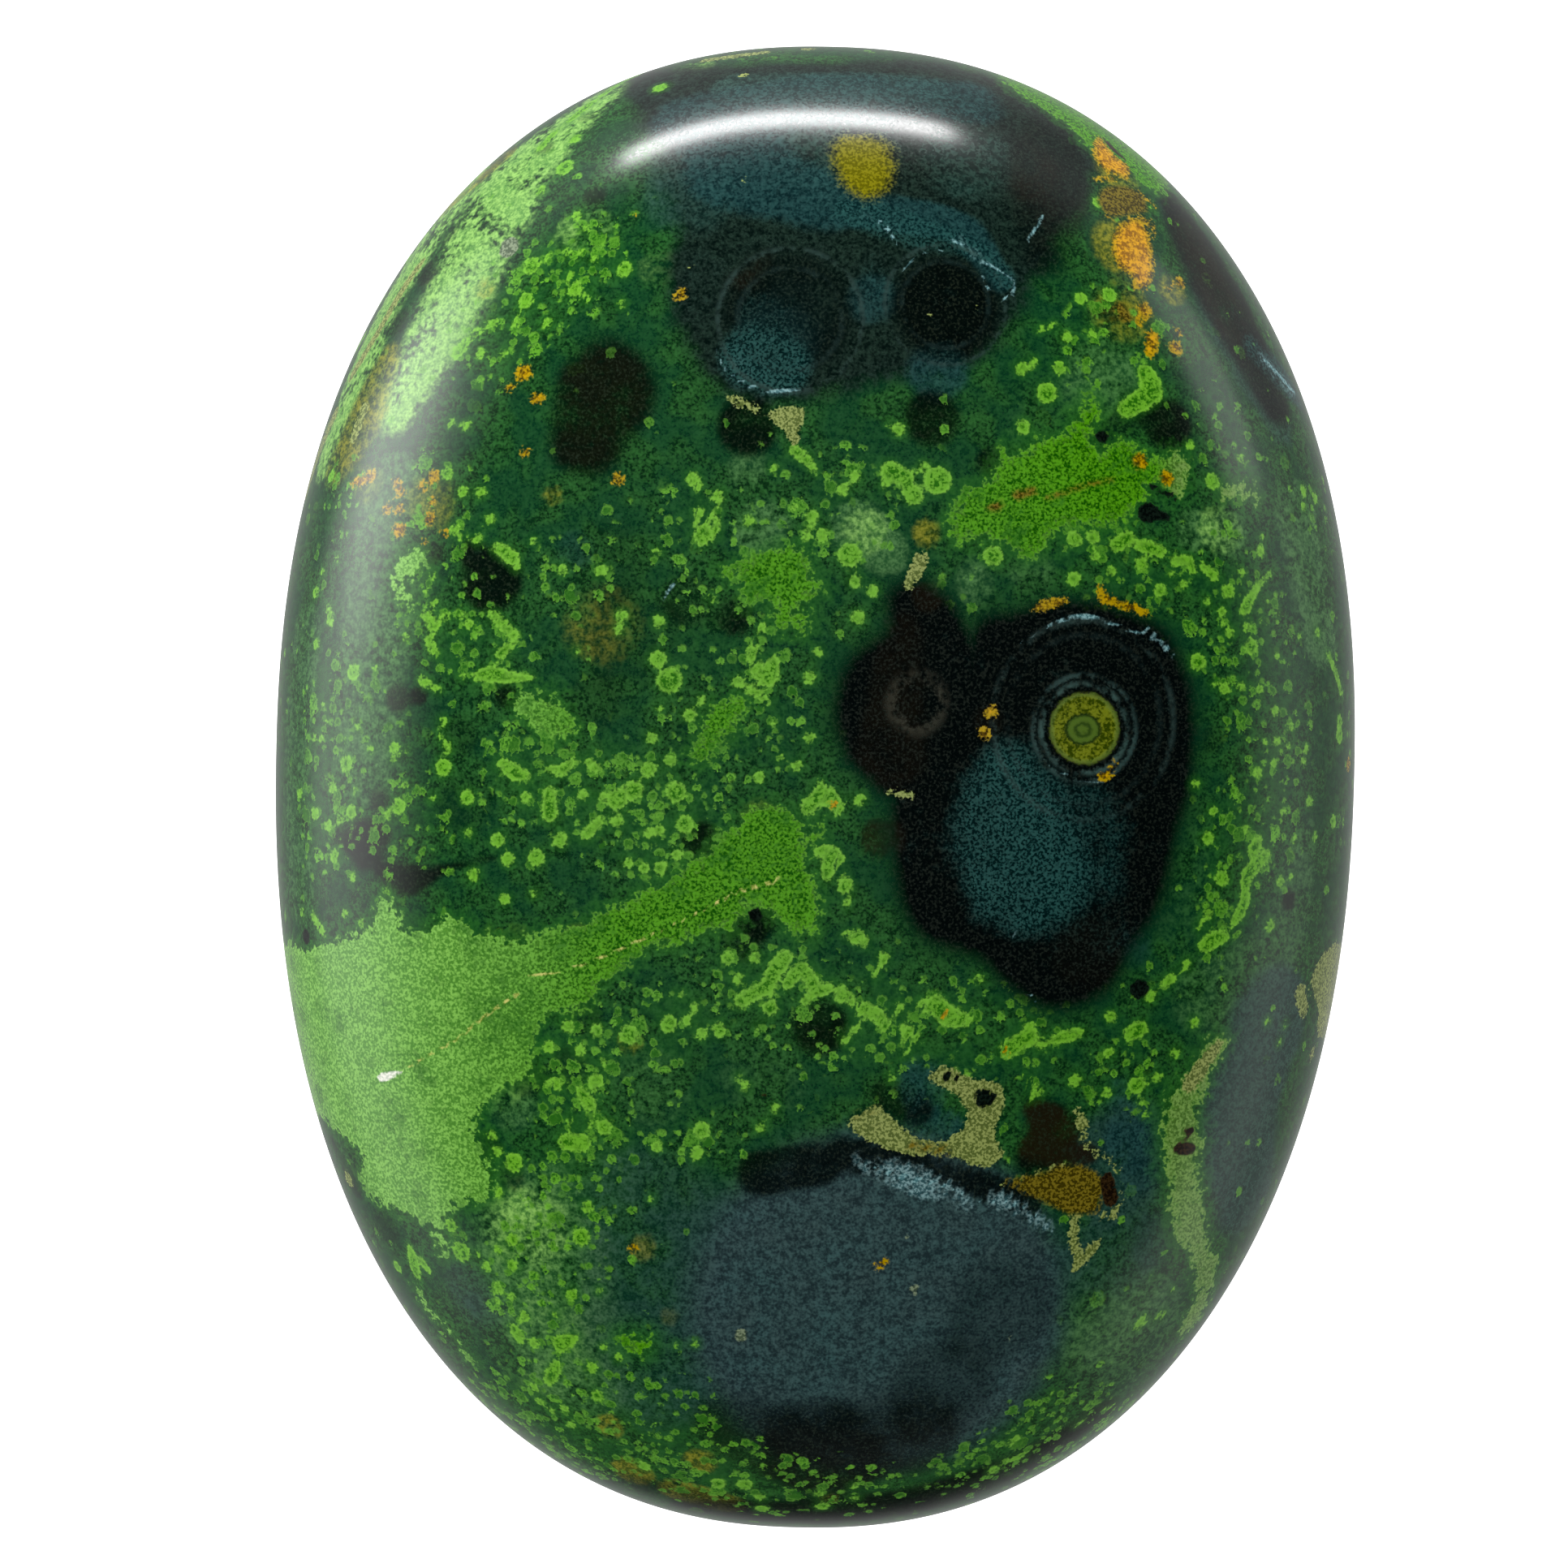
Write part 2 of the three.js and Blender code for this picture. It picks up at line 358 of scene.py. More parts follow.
# Lime grains with a bright rim: (x, y, half-width) for a round one, a list of such points for a long one
LIME_UPPER_LEFT = [
    [(-9.8, 29.6, 0.2), (-9.0, 30.2, 0.26), (-8.2, 30.6, 0.15)], [(-11.2, 28.4, 0.2), (-10.3, 29.2, 0.3)],
    (-10.9, 27.6, 0.3), [(-12.4, 27.2, 0.25), (-11.8, 27.9, 0.2)], (-11.3, 26.3, 0.42),
    (-12.3, 25.3, 0.25), [(-18.7, 21.7, 0.16), (-18.0, 22.4, 0.22)],
    [(-19.5, 20.0, 0.2), (-19.0, 20.8, 0.18)], [(-20.2, 18.4, 0.18), (-19.8, 19.1, 0.2)],
    [(-17.6, 23.6, 0.18), (-17.0, 24.3, 0.2)], (-12.6, 22.0, 0.42), (-11.9, 22.4, 0.2),
    (-11.1, 22.6, 0.22), (-10.5, 22.6, 0.18), (-9.9, 22.3, 0.22), (-8.6, 21.9, 0.35), (-10.9, 21.6, 0.22),
    (-10.7, 21.0, 0.35), (-10.2, 20.6, 0.2), (-8.7, 20.4, 0.2), (-12.8, 20.5, 0.38), (-14.2, 19.5, 0.28),
    (-13.2, 19.5, 0.25), (-11.9, 19.5, 0.25), (-14.9, 19.1, 0.22), (-10.7, 24.2, 0.25),
    (-10.3, 23.6, 0.22), (-14.7, 18.2, 0.25), (-13.7, 18.2, 0.2), (-7.3, 29.9, 0.35), (-16.0, 13.05, 0.3),
    (-15.2, 15.1, 0.24), (-15.9, 15.2, 0.2), (-15.3, 12.25, 0.28), (-14.5, 12.25, 0.24),
    (-14.1, 11.1, 0.24), (-15.6, 10.65, 0.26), (-15.3, 10.3, 0.18), (-14.6, 10.25, 0.22),
    (-10.95, 9.0, 0.24), (-9.3, 9.0, 0.28), (-12.2, 10.2, 0.18), (-16.5, 8.65, 0.18), (-16.8, 7.95, 0.14),
    (-16.4, 7.5, 0.18), (-21.05, 12.9, 0.3), (-21.3, 8.75, 0.16), (-20.7, 9.35, 0.16),
    (-19.85, 4.5, 0.36), (-18.9, 4.7, 0.15), (-21.15, 3.05, 0.16), (-20.95, 2.3, 0.16),
    (-19.6, 2.15, 0.17), (-20.05, 0.55, 0.36), (-18.0, 1.3, 0.27), (-18.0, 0.85, 0.2), (-17.5, 1.2, 0.15),
    (-19.0, 1.2, 0.19), (-21.5, 1.65, 0.2), (-21.2, 1.6, 0.2), (-20.2, 1.55, 0.15), (-15.85, 0.5, 0.38),
    (-15.7, 1.4, 0.24), (-15.9, 2.45, 0.2), (-16.0, 1.85, 0.15), (-8.5, 6.5, 0.2), (-8.4, 7.1, 0.26),
    (-10.3, 5.6, 0.14), (-15.2, 7.0, 0.18), (-14.9, 6.6, 0.24), [(-15.4, 18.6, 0.25), (-15.7, 18.2, 0.3)],
    [(-13.75, 9.9, 0.24), (-13.1, 9.5, 0.3), (-12.9, 9.1, 0.16)], [(-16.8, 7.0, 0.2), (-16.4, 6.5, 0.28)],
    [(-16.6, 5.9, 0.22), (-16.3, 5.35, 0.16)], (-15.9, 6.95, 0.2),
    [(-13.9, 7.05, 0.2), (-13.4, 6.6, 0.26), (-12.9, 6.1, 0.2)],
    [(-13.1, 5.75, 0.16), (-13.5, 5.4, 0.26)],
    [(-14.6, 4.4, 0.16), (-13.9, 4.5, 0.36), (-13.0, 4.4, 0.22), (-12.1, 4.4, 0.1)], (-15.1, 4.4, 0.14),
    [(-16.9, 4.2, 0.2), (-16.1, 3.75, 0.12)], [(-21.0, 7.2, 0.18), (-20.9, 6.6, 0.22)],
    (-21.6, 7.9, 0.25), [(-13.3, 0.7, 0.26), (-12.8, 0.35, 0.36), (-12.3, 0.2, 0.22)], (-17.6, 6.0, 0.2),
    (-21.5, 5.65, 0.25), [(-11.4, 0.5, 0.14), (-10.8, 0.45, 0.24), (-10.3, 0.95, 0.14)],
    [(-9.7, 0.85, 0.2), (-9.3, 0.6, 0.24)],
]
LIME_UPPER_RIGHT = [
    (9.5, 17.0, 0.45), (10.0, 18.1, 0.3), (8.4, 18.0, 0.3), (8.9, 18.3, 0.2), (10.3, 19.4, 0.25),
    (12.1, 21.3, 0.35), (11.4, 19.6, 0.22), (10.9, 21.1, 0.28), (11.6, 25.3, 0.3), (13.9, 25.2, 0.16),
    (8.5, 15.5, 0.32), [(13.7, 18.0, 0.4), (14.0, 17.2, 0.5), (12.9, 16.4, 0.4)],
    [(9.1, 19.7, 0.1), (9.8, 19.9, 0.12)], (3.2, 15.3, 0.28), (2.8, 15.5, 0.12), (1.4, 13.25, 0.25),
    (0.9, 12.65, 0.25), (4.93, 13.15, 0.58), (4.3, 13.7, 0.22), (2.65, 12.85, 0.17),
    [(2.9, 13.5, 0.42), (3.6, 13.2, 0.36)], [(3.6, 12.8, 0.25), (3.9, 12.5, 0.42)], (7.35, 10.0, 0.42),
    (1.25, 9.9, 0.5), (1.5, 8.8, 0.28), (2.25, 8.4, 0.26), (1.65, 7.25, 0.3), (0.0, 5.75, 0.2),
    (-0.35, 4.65, 0.26), (17.9, 14.45, 0.2), (15.7, 14.9, 0.2), (16.7, 13.45, 0.36), (10.8, 10.8, 0.34),
    (11.6, 10.9, 0.3), [(12.6, 10.6, 0.34), (13.1, 10.9, 0.3)],
    [(13.5, 10.6, 0.2), (13.9, 10.55, 0.3), (14.5, 10.35, 0.26)],
    [(15.1, 10.0, 0.2), (15.7, 10.0, 0.24), (15.9, 9.6, 0.2)], [(16.3, 9.85, 0.15), (16.8, 9.4, 0.26)],
    (17.45, 8.75, 0.32), (10.8, 9.1, 0.3), (12.4, 9.45, 0.24), (13.7, 9.8, 0.3), (11.7, 10.1, 0.22),
    (14.5, 8.7, 0.28), (15.5, 9.0, 0.2), (15.0, 9.4, 0.15), (18.0, 9.6, 0.18), (18.8, 10.5, 0.24),
    (18.9, 11.1, 0.12), [(18.2, 8.0, 0.3), (18.5, 8.65, 0.2), (18.9, 9.2, 0.12), (19.3, 9.6, 0.1)],
    (16.55, 8.3, 0.18), (17.2, 7.85, 0.22), (17.3, 7.3, 0.15), (17.55, 6.95, 0.22), (18.3, 7.2, 0.22),
    (18.9, 7.55, 0.13), (19.6, 7.9, 0.15), (19.2, 8.3, 0.14), (18.5, 6.4, 0.36), (16.2, 5.7, 0.36),
    (19.6, 6.1, 0.18), (17.4, 4.6, 0.26), (16.9, 4.75, 0.15), (18.1, 4.7, 0.22), (18.9, 4.6, 0.22),
    (19.6, 3.7, 0.25), (20.3, 3.05, 0.2), (19.7, 2.4, 0.22), (19.2, 2.35, 0.15), (20.2, 2.2, 0.15),
    (21.0, 2.1, 0.18), (20.9, 1.6, 0.2), (19.6, 1.45, 0.2), (18.9, 1.05, 0.24), (16.2, 0.5, 0.2),
    (22.5, 3.3, 0.3), (22.5, 2.7, 0.35), (20.7, 13.2, 0.25), (21.2, 12.9, 0.25), (20.7, 12.5, 0.2),
    [(21.9, 6.2, 0.16), (22.25, 5.45, 0.2), (22.55, 4.5, 0.16)], (20.6, 6.9, 0.15), (21.4, 7.1, 0.2),
]
LIME_MIDDLE = [
    (-5.5, 13.0, 0.3), (-5.2, 12.6, 0.16), (-4.4, 12.25, 0.28), (-5.2, 11.55, 0.26), (-4.55, 11.35, 0.24),
    (-5.0, 10.6, 0.44), (-4.5, 10.8, 0.24), (-6.95, 9.85, 0.2), (-2.05, 13.5, 0.18), (-1.15, 11.85, 0.18),
    (-0.4, 11.5, 0.28), (-3.1, 11.25, 0.26), (-0.6, 10.7, 0.24), (0.05, 10.7, 0.3), (-4.6, 7.9, 0.2),
    [(-1.2, 14.3, 0.26), (-0.65, 13.9, 0.22), (-0.3, 13.4, 0.12)], (-6.8, 6.9, 0.26), (-2.4, 6.7, 0.24),
    [(-2.8, 5.7, 0.3), (-2.9, 5.5, 0.2)], [(-2.6, 4.95, 0.3), (-2.1, 4.6, 0.4), (-1.9, 5.3, 0.26)],
    (-6.8, 5.3, 0.36), (-6.3, 4.4, 0.55), (-3.4, 4.4, 0.27),
    [(-2.9, 4.1, 0.2), (-2.5, 3.9, 0.22), (-2.0, 3.5, 0.1)], (-4.9, 3.6, 0.2), (-5.4, 2.95, 0.3),
    (-6.7, 3.2, 0.15), (-1.85, 2.7, 0.17), (-7.0, 1.95, 0.26), (-0.3, 2.1, 0.24), (-1.5, 1.2, 0.18),
    (-0.8, 0.9, 0.24), (-6.2, 1.0, 0.28), (-7.1, 0.6, 0.34), (-2.4, 0.35, 0.26), (-7.7, -0.3, 0.42),
    (-5.9, -0.35, 0.45), (-6.6, -2.0, 0.24), (-5.5, -1.7, 0.38), (-5.8, -3.0, 0.25), (-7.2, -3.6, 0.24),
    (-6.5, -3.6, 0.3), (-7.9, -3.4, 0.22), (-7.0, -2.1, 0.24),
    [(-0.3, -0.85, 0.34), (0.1, -0.4, 0.3), (0.6, -0.4, 0.4), (1.0, -0.9, 0.28)], (0.2, 0.15, 0.2),
    [(0.3, -2.75, 0.3), (0.8, -2.8, 0.34)], [(0.6, -3.2, 0.3), (0.6, -3.8, 0.24)], (1.15, -3.1, 0.22),
    (1.35, -4.15, 0.36), (1.5, -5.0, 0.16), (1.9, -0.5, 0.26), (-14.8, -0.75, 0.32), (-16.3, -0.8, 0.15),
    (-20.65, -0.45, 0.27), (-19.65, -0.6, 0.14), (-17.5, -0.3, 0.17), (-21.4, -1.6, 0.3),
    (-20.8, -2.1, 0.26), (-20.3, -1.85, 0.2), (-19.8, -1.5, 0.32), (-17.75, -1.2, 0.34),
    (-18.2, -1.6, 0.22), (-20.5, -3.4, 0.3), (-18.2, -4.85, 0.18), (-9.9, -0.55, 0.24),
    (-9.05, -0.65, 0.2), (-8.4, -0.7, 0.45), (-12.3, -0.7, 0.24),
    [(-11.3, -0.5, 0.3), (-11.25, -1.4, 0.34)], [(-9.1, -1.6, 0.2), (-9.7, -2.25, 0.24)],
    (-8.4, -1.65, 0.27), (-13.45, -2.55, 0.32), (-13.0, -3.35, 0.3), (-11.8, -3.25, 0.38),
    (-10.8, -2.5, 0.32), (-14.45, -4.05, 0.28), (-13.1, -5.05, 0.26), (-11.85, -4.8, 0.18),
    (-20.0, -5.85, 0.2), [(-21.4, -6.0, 0.2), (-20.9, -6.75, 0.15)], (-21.9, -5.85, 0.2),
    (-19.25, -6.2, 0.18), (-19.7, -4.3, 0.2), (-22.1, -0.75, 0.25), (-14.7, -2.3, 0.2),
]
LIME_LOWER = [
    [(1.5, -6.25, 0.2), (2.0, -6.35, 0.32), (2.3, -6.55, 0.22)], (3.05, -7.2, 0.3), (2.7, -7.9, 0.17),
    (7.15, -8.0, 0.22), (-3.55, -7.35, 0.3), (-3.1, -8.2, 0.25), (-2.4, -7.3, 0.26), (-4.9, -9.4, 0.17),
    [(-1.15, -7.3, 0.36), (-1.6, -7.9, 0.34), (-1.8, -8.5, 0.3), (-2.4, -8.8, 0.3), (-3.0, -9.2, 0.28)],
    [(-1.0, -8.4, 0.26), (-0.4, -7.7, 0.3), (0.0, -8.2, 0.3), (0.2, -8.65, 0.3), (0.8, -8.5, 0.24)],
    [(1.3, -8.75, 0.34), (1.75, -9.05, 0.22)], (-0.2, -9.05, 0.24), (-1.7, -9.4, 0.36),
    (-2.2, -10.3, 0.18), [(2.3, -9.4, 0.34), (2.9, -9.65, 0.3), (3.25, -10.2, 0.24)], (3.75, -9.3, 0.24),
    [(4.1, -10.3, 0.32), (4.7, -10.6, 0.16)], (4.05, -11.15, 0.18), (1.9, -10.2, 0.2), (1.5, -10.7, 0.2),
    [(4.7, -9.2, 0.24), (5.3, -9.1, 0.4), (5.8, -9.6, 0.44), (6.6, -9.75, 0.34)], (3.5, -12.25, 0.2),
    (-2.7, -12.8, 0.22), (-3.0, -12.4, 0.16), (-1.4, -13.7, 0.22), (-4.5, -14.7, 0.36),
    (-4.7, -15.7, 0.3), (-6.4, -15.4, 0.26), (-2.0, -14.5, 0.22), (-7.7, -10.7, 0.42),
    (-6.0, -10.2, 0.38), (-5.2, -10.0, 0.24), (-3.85, -10.4, 0.32), (-4.6, -10.6, 0.25),
    (-5.5, -8.9, 0.16), (-10.3, -10.4, 0.28), (-9.05, -10.55, 0.3), (-11.1, -11.3, 0.26),
    (-9.75, -11.4, 0.26), (-8.75, -11.85, 0.18), (-9.05, -12.7, 0.34), (-10.7, -12.85, 0.28),
    (-11.15, -12.95, 0.2), [(-9.7, -13.2, 0.25), (-9.3, -13.7, 0.3)], (-8.65, -14.65, 0.36),
    (-9.2, -14.45, 0.2), (-10.1, -14.45, 0.18), [(-10.3, -15.35, 0.34), (-9.6, -15.35, 0.4)],
    (-13.45, -15.15, 0.22), (-13.2, -15.8, 0.24), (-12.5, -16.3, 0.42), (-13.1, -17.6, 0.24),
    (-15.15, -19.1, 0.3), (-14.7, -20.2, 0.46), (-14.0, -20.3, 0.17), (-13.6, -20.8, 0.24),
    (-13.1, -20.05, 0.22), (-12.5, -19.6, 0.3), (-12.5, -20.7, 0.28), (-13.1, -21.7, 0.28),
    (-12.5, -22.1, 0.22), (-13.1, -22.3, 0.16), (-11.95, -22.9, 0.27), (-9.3, -18.1, 0.27),
    [(-12.35, -23.5, 0.3), (-12.1, -23.9, 0.24)], (-11.5, -24.05, 0.26),
    [(-10.35, -24.05, 0.42), (-9.7, -23.7, 0.15)], (-10.6, -22.8, 0.15), (-9.9, -21.9, 0.3),
    (-9.55, -19.4, 0.4), (-11.3, -18.9, 0.18), (-8.75, -21.7, 0.17), (-8.5, -24.1, 0.18),
    [(-10.5, -24.9, 0.2), (-10.65, -25.3, 0.34), (-10.85, -25.7, 0.25)], (-9.0, -25.05, 0.28),
    (-11.5, -26.0, 0.24), (-11.2, -26.65, 0.22), (-10.7, -27.0, 0.18), (-10.15, -26.9, 0.22),
    (-9.85, -27.6, 0.22), (-8.75, -26.25, 0.3), (-7.9, -24.6, 0.22), (-6.6, -17.65, 0.15),
    (-5.4, -23.95, 0.14), (-4.6, -23.85, 0.17),
    [(-16.95, -20.1, 0.15), (-16.75, -20.8, 0.34), (-16.65, -21.3, 0.24)],
    [(-16.4, -20.7, 0.2), (-16.1, -21.1, 0.16)], (-17.5, -21.0, 0.3), (-6.7, -29.3, 0.3),
    (-3.5, -30.0, 0.35), (-2.35, -30.0, 0.36), (-1.7, -30.55, 0.25), (-1.6, -31.1, 0.3),
    (0.85, -30.35, 0.22), (1.0, -30.9, 0.3), (2.35, -29.95, 0.18), (2.4, -30.5, 0.2), (17.0, -0.65, 0.22),
    (20.05, -0.65, 0.2), (21.2, -0.15, 0.25), (22.3, -1.0, 0.3), (18.4, -1.4, 0.22), (16.8, -1.8, 0.3),
    (20.6, -1.8, 0.18), (21.5, -1.65, 0.2), [(19.0, -1.8, 0.2), (18.8, -2.3, 0.34)],
    [(19.35, -2.5, 0.26), (19.0, -2.8, 0.32), (18.6, -3.25, 0.34), (18.45, -3.7, 0.24),
     (18.5, -4.3, 0.24), (18.35, -4.85, 0.27), (18.0, -5.35, 0.22)],
    [(17.65, -6.0, 0.22), (17.2, -6.1, 0.36), (16.8, -6.4, 0.34)], (16.0, -7.25, 0.23),
    [(15.4, -7.8, 0.2), (15.1, -8.05, 0.2)], (14.45, -8.6, 0.28), (17.45, -3.5, 0.36),
    (16.9, -5.05, 0.26), (16.5, -5.6, 0.17), (20.0, -3.6, 0.24), (20.5, -3.4, 0.16), (19.6, -5.5, 0.28),
    [(13.7, -10.2, 0.36), (14.1, -10.0, 0.36)], (15.6, -11.0, 0.24), (14.9, -12.05, 0.24),
    (14.0, -12.4, 0.4), (12.7, -12.75, 0.26), (11.35, -12.25, 0.3), (12.75, -11.05, 0.24),
    (12.8, -9.5, 0.27), (14.2, -13.1, 0.2), (14.4, -13.65, 0.17), (16.4, -9.7, 0.24),
    [(8.4, -11.0, 0.4), (9.0, -10.6, 0.36), (9.4, -10.3, 0.3), (9.3, -9.9, 0.2)], (9.8, -10.7, 0.26),
    [(10.4, -10.5, 0.2), (11.0, -10.35, 0.28), (11.5, -10.2, 0.2)],
    [(9.2, -12.05, 0.1), (9.6, -12.5, 0.13), (9.9, -12.8, 0.15), (9.4, -13.1, 0.1)], (15.8, -21.2, 0.14),
    [(14.3, -22.85, 0.2), (14.6, -22.5, 0.24)], [(15.15, -22.5, 0.15), (15.4, -22.3, 0.22)],
    (14.9, -20.6, 0.1), (9.2, -27.8, 0.24), [(8.9, -28.75, 0.2), (9.6, -28.5, 0.2)], (8.3, -29.2, 0.26),
    (8.9, -28.05, 0.16), [(13.05, -26.5, 0.14), (13.4, -26.3, 0.12)],
    [(11.8, -27.2, 0.12), (12.1, -26.95, 0.14)], (10.7, -25.8, 0.14), (20.15, -10.5, 0.17),
    (20.4, -9.7, 0.14), (19.6, -9.6, 0.17),
]
LIME = LIME_UPPER_LEFT + LIME_UPPER_RIGHT + LIME_MIDDLE + LIME_LOWER

# Orange and amber grains
AMBER_AREAS = [
    [(11.35, 27.95), (11.65, 28.3), (11.8, 28.05), (12.35, 27.35), (12.8, 27.1), (13.05, 26.7),
     (12.8, 26.35), (12.4, 26.6), (11.95, 26.65), (11.6, 26.95), (11.35, 27.4)],
    [(12.2, 23.9), (12.5, 24.4), (13.0, 24.7), (13.4, 24.65), (13.75, 24.2), (13.9, 23.6), (14.0, 23.0),
     (14.0, 22.3), (13.9, 21.8), (13.55, 21.6), (13.1, 21.6), (13.15, 22.1), (12.75, 22.3), (12.4, 22.6),
     (12.2, 23.1)],
]
AMBER = [
    [(13.35, 24.75, 0.1), (13.9, 24.5, 0.14), (14.05, 24.0, 0.08)],
    [(11.4, 26.3, 0.08), (12.3, 26.4, 0.12)], [(13.3, 25.9, 0.05), (14.1, 25.2, 0.08)],
    (12.0, 24.7, 0.12), (15.15, 21.95, 0.28), (13.65, 20.7, 0.35), (13.45, 20.2, 0.2),
    [(14.0, 19.5, 0.34), (13.9, 18.9, 0.25)], (15.0, 19.1, 0.3), (15.1, 19.8, 0.18), (14.7, 21.7, 0.18),
    (-12.8, 17.4, 0.36), (-13.4, 16.7, 0.2), (-12.2, 16.3, 0.3), (-12.65, 14.0, 0.22),
    (-8.65, 12.9, 0.28), (-6.1, 20.9, 0.22), (-6.4, 20.7, 0.1), (-8.2, 24.2, 0.1),
    [(-20.0, 12.6, 0.22), (-19.2, 12.9, 0.22)], [(-18.2, 12.7, 0.2), (-17.95, 12.2, 0.2)],
    (-18.55, 11.5, 0.25), (-18.0, 11.5, 0.24), (-18.0, 10.6, 0.34), (-17.05, 12.4, 0.22),
    (-16.55, 12.9, 0.28), (-16.6, 11.85, 0.2), (-16.7, 11.1, 0.28), (-16.05, 10.45, 0.16),
    (-16.9, 10.1, 0.14), [(9.2, 7.85, 0.16), (9.8, 8.0, 0.2), (10.4, 8.15, 0.14)], (7.4, 3.4, 0.28),
    (7.15, 2.45, 0.25),
    [(11.9, 8.8, 0.1), (12.1, 8.3, 0.18), (12.7, 8.1, 0.18), (13.3, 7.95, 0.16), (14.0, 7.7, 0.1)],
    [(12.2, 0.7, 0.2), (12.55, 0.85, 0.17)], (12.65, 1.3, 0.14), (22.95, 1.5, 0.3), (0.8, -0.75, 0.2),
    (5.65, -9.5, 0.22), (8.35, -11.05, 0.2), (3.4, -20.2, 0.2), (3.1, -20.35, 0.16), (13.6, 14.2, 0.3),
    (14.7, 13.5, 0.3), (-7.35, -19.8, 0.2),
]

# Khaki veins and scraps
FORK_VEIN = [
    (1.6, -14.3), (2.2, -13.8), (3.0, -13.5), (3.5, -13.9), (4.05, -14.4), (4.8, -14.9), (5.8, -14.95),
    (6.4, -14.6), (6.9, -13.8), (6.6, -13.3), (6.1, -12.75), (5.5, -12.55), (5.0, -12.3), (5.4, -11.85),
    (6.1, -11.8), (6.7, -12.2), (7.5, -12.3), (8.1, -12.4), (8.35, -13.1), (8.2, -13.8), (7.9, -14.7),
    (8.4, -15.5), (7.7, -16.0), (6.9, -15.9), (6.0, -15.5), (4.8, -15.55), (3.7, -15.4), (2.9, -15.1),
    (2.1, -14.7),
]
BROWN_PATCH = [
    (8.4, -16.6), (9.3, -16.35), (10.0, -16.3), (10.7, -15.95), (11.7, -15.9), (12.4, -16.2),
    (12.8, -16.8), (12.5, -17.2), (12.7, -17.8), (11.7, -17.95), (11.0, -17.9), (10.1, -17.4),
    (9.1, -17.0),
]
UMBER_STROKES = [
    [(7.1, 12.0, 0.12), (7.5, 12.1, 0.2)], [(8.3, 12.6, 0.2), (9.0, 12.8, 0.16)], (13.5, 14.2, 0.34),
    (14.7, 13.5, 0.3), [(9.6, 12.5, 0.06), (11.2, 13.1, 0.08), (12.4, 13.4, 0.06)],
    [(13.15, 24.0, 0.2), (13.2, 23.5, 0.3), (13.3, 23.0, 0.2)], [(12.6, 20.7, 0.3), (12.9, 20.3, 0.25)],
    [(4.4, -15.15, 0.16), (6.0, -15.35, 0.18)], [(2.0, -13.9, 0.1), (3.0, -13.6, 0.08)],
]
HOOK_MIDDLE = [
    (11.5, 25.35), (11.9, 26.0), (13.0, 26.0), (13.65, 25.5), (13.7, 25.0), (13.0, 24.85), (12.1, 24.7),
    (11.8, 24.95),
]
SCRAP_AT_THE_DISC = [
    (-2.4, 15.6), (-1.9, 16.1), (-0.8, 16.1), (-1.0, 15.3), (-1.0, 14.6), (-1.35, 14.5), (-1.7, 15.2),
]
RIM_SCRAP = [
    (22.6, -6.2), (21.7, -7.2), (21.5, -8.0), (21.9, -9.2), (21.9, -10.3), (23.4, -9.6), (24.0, -7.6),
]
OLIVE_SPOT = [
    (0.2, 27.0), (0.4, 27.7), (1.4, 27.9), (2.4, 27.6), (2.7, 26.6), (2.5, 25.7), (1.6, 25.2),
    (0.7, 25.8),
]
KHAKI_AREAS = [FORK_VEIN, SCRAP_AT_THE_DISC, RIM_SCRAP]
KHAKI_STROKES = [
    (-5.8, 22.0, 0.09), (-5.6, 23.1, 0.08), (-3.6, 25.9, 0.1), (-0.2, 24.2, 0.08), (4.5, 20.2, 0.07),
    (6.4, 20.6, 0.07), [(-4.0, 16.5, 0.14), (-3.3, 16.2, 0.2), (-2.8, 16.0, 0.12)],
    [(3.2, -0.1, 0.12), (4.1, -0.25, 0.13)], [(4.3, 9.8, 0.28), (4.05, 9.2, 0.32), (3.7, 8.6, 0.16)],
    [(21.0, -8.4, 0.4), (21.2, -9.1, 0.35)],
    [(17.5, -10.6, 0.2), (16.9, -11.4, 0.35), (16.3, -12.3, 0.4)], (21.65, -11.0, 0.3),
    [(11.5, -13.6, 0.2), (11.75, -14.2, 0.25)],
    [(13.3, -17.5, 0.12), (13.1, -18.0, 0.22), (12.6, -18.05, 0.15)],
    [(13.5, -16.9, 0.07), (13.35, -17.6, 0.1)], [(10.6, -16.05, 0.12), (11.0, -15.9, 0.1)],
    [(8.3, -16.75, 0.07), (9.5, -16.35, 0.1), (10.6, -15.95, 0.09)],
    [(11.4, -13.6, 0.1), (11.7, -14.3, 0.13), (12.0, -15.2, 0.13), (12.8, -15.5, 0.12),
     (13.35, -16.2, 0.1)],
    [(11.5, -18.0, 0.22), (11.4, -18.9, 0.2), (11.6, -19.6, 0.22), (11.8, -20.0, 0.24),
     (11.5, -20.35, 0.12)], [(11.9, -19.8, 0.2), (12.3, -19.4, 0.28), (12.55, -19.2, 0.15)],
    [(-5.4, 31.2, 0.3), (-2.9, 31.6, 0.3)], (-1.0, 31.8, 0.3), (-3.7, 30.5, 0.18),
    [(-21.0, 15.6, 0.4), (-21.6, 14.2, 0.45), (-22.2, 12.2, 0.4)],
    [(-19.7, 15.8, 0.3), (-20.1, 14.6, 0.3)], (-19.7, -17.3, 0.4),
    [(-20.3, 17.3, 0.3), (-19.3, 19.0, 0.3), (-18.3, 20.8, 0.3), (-17.4, 22.2, 0.25)],
]

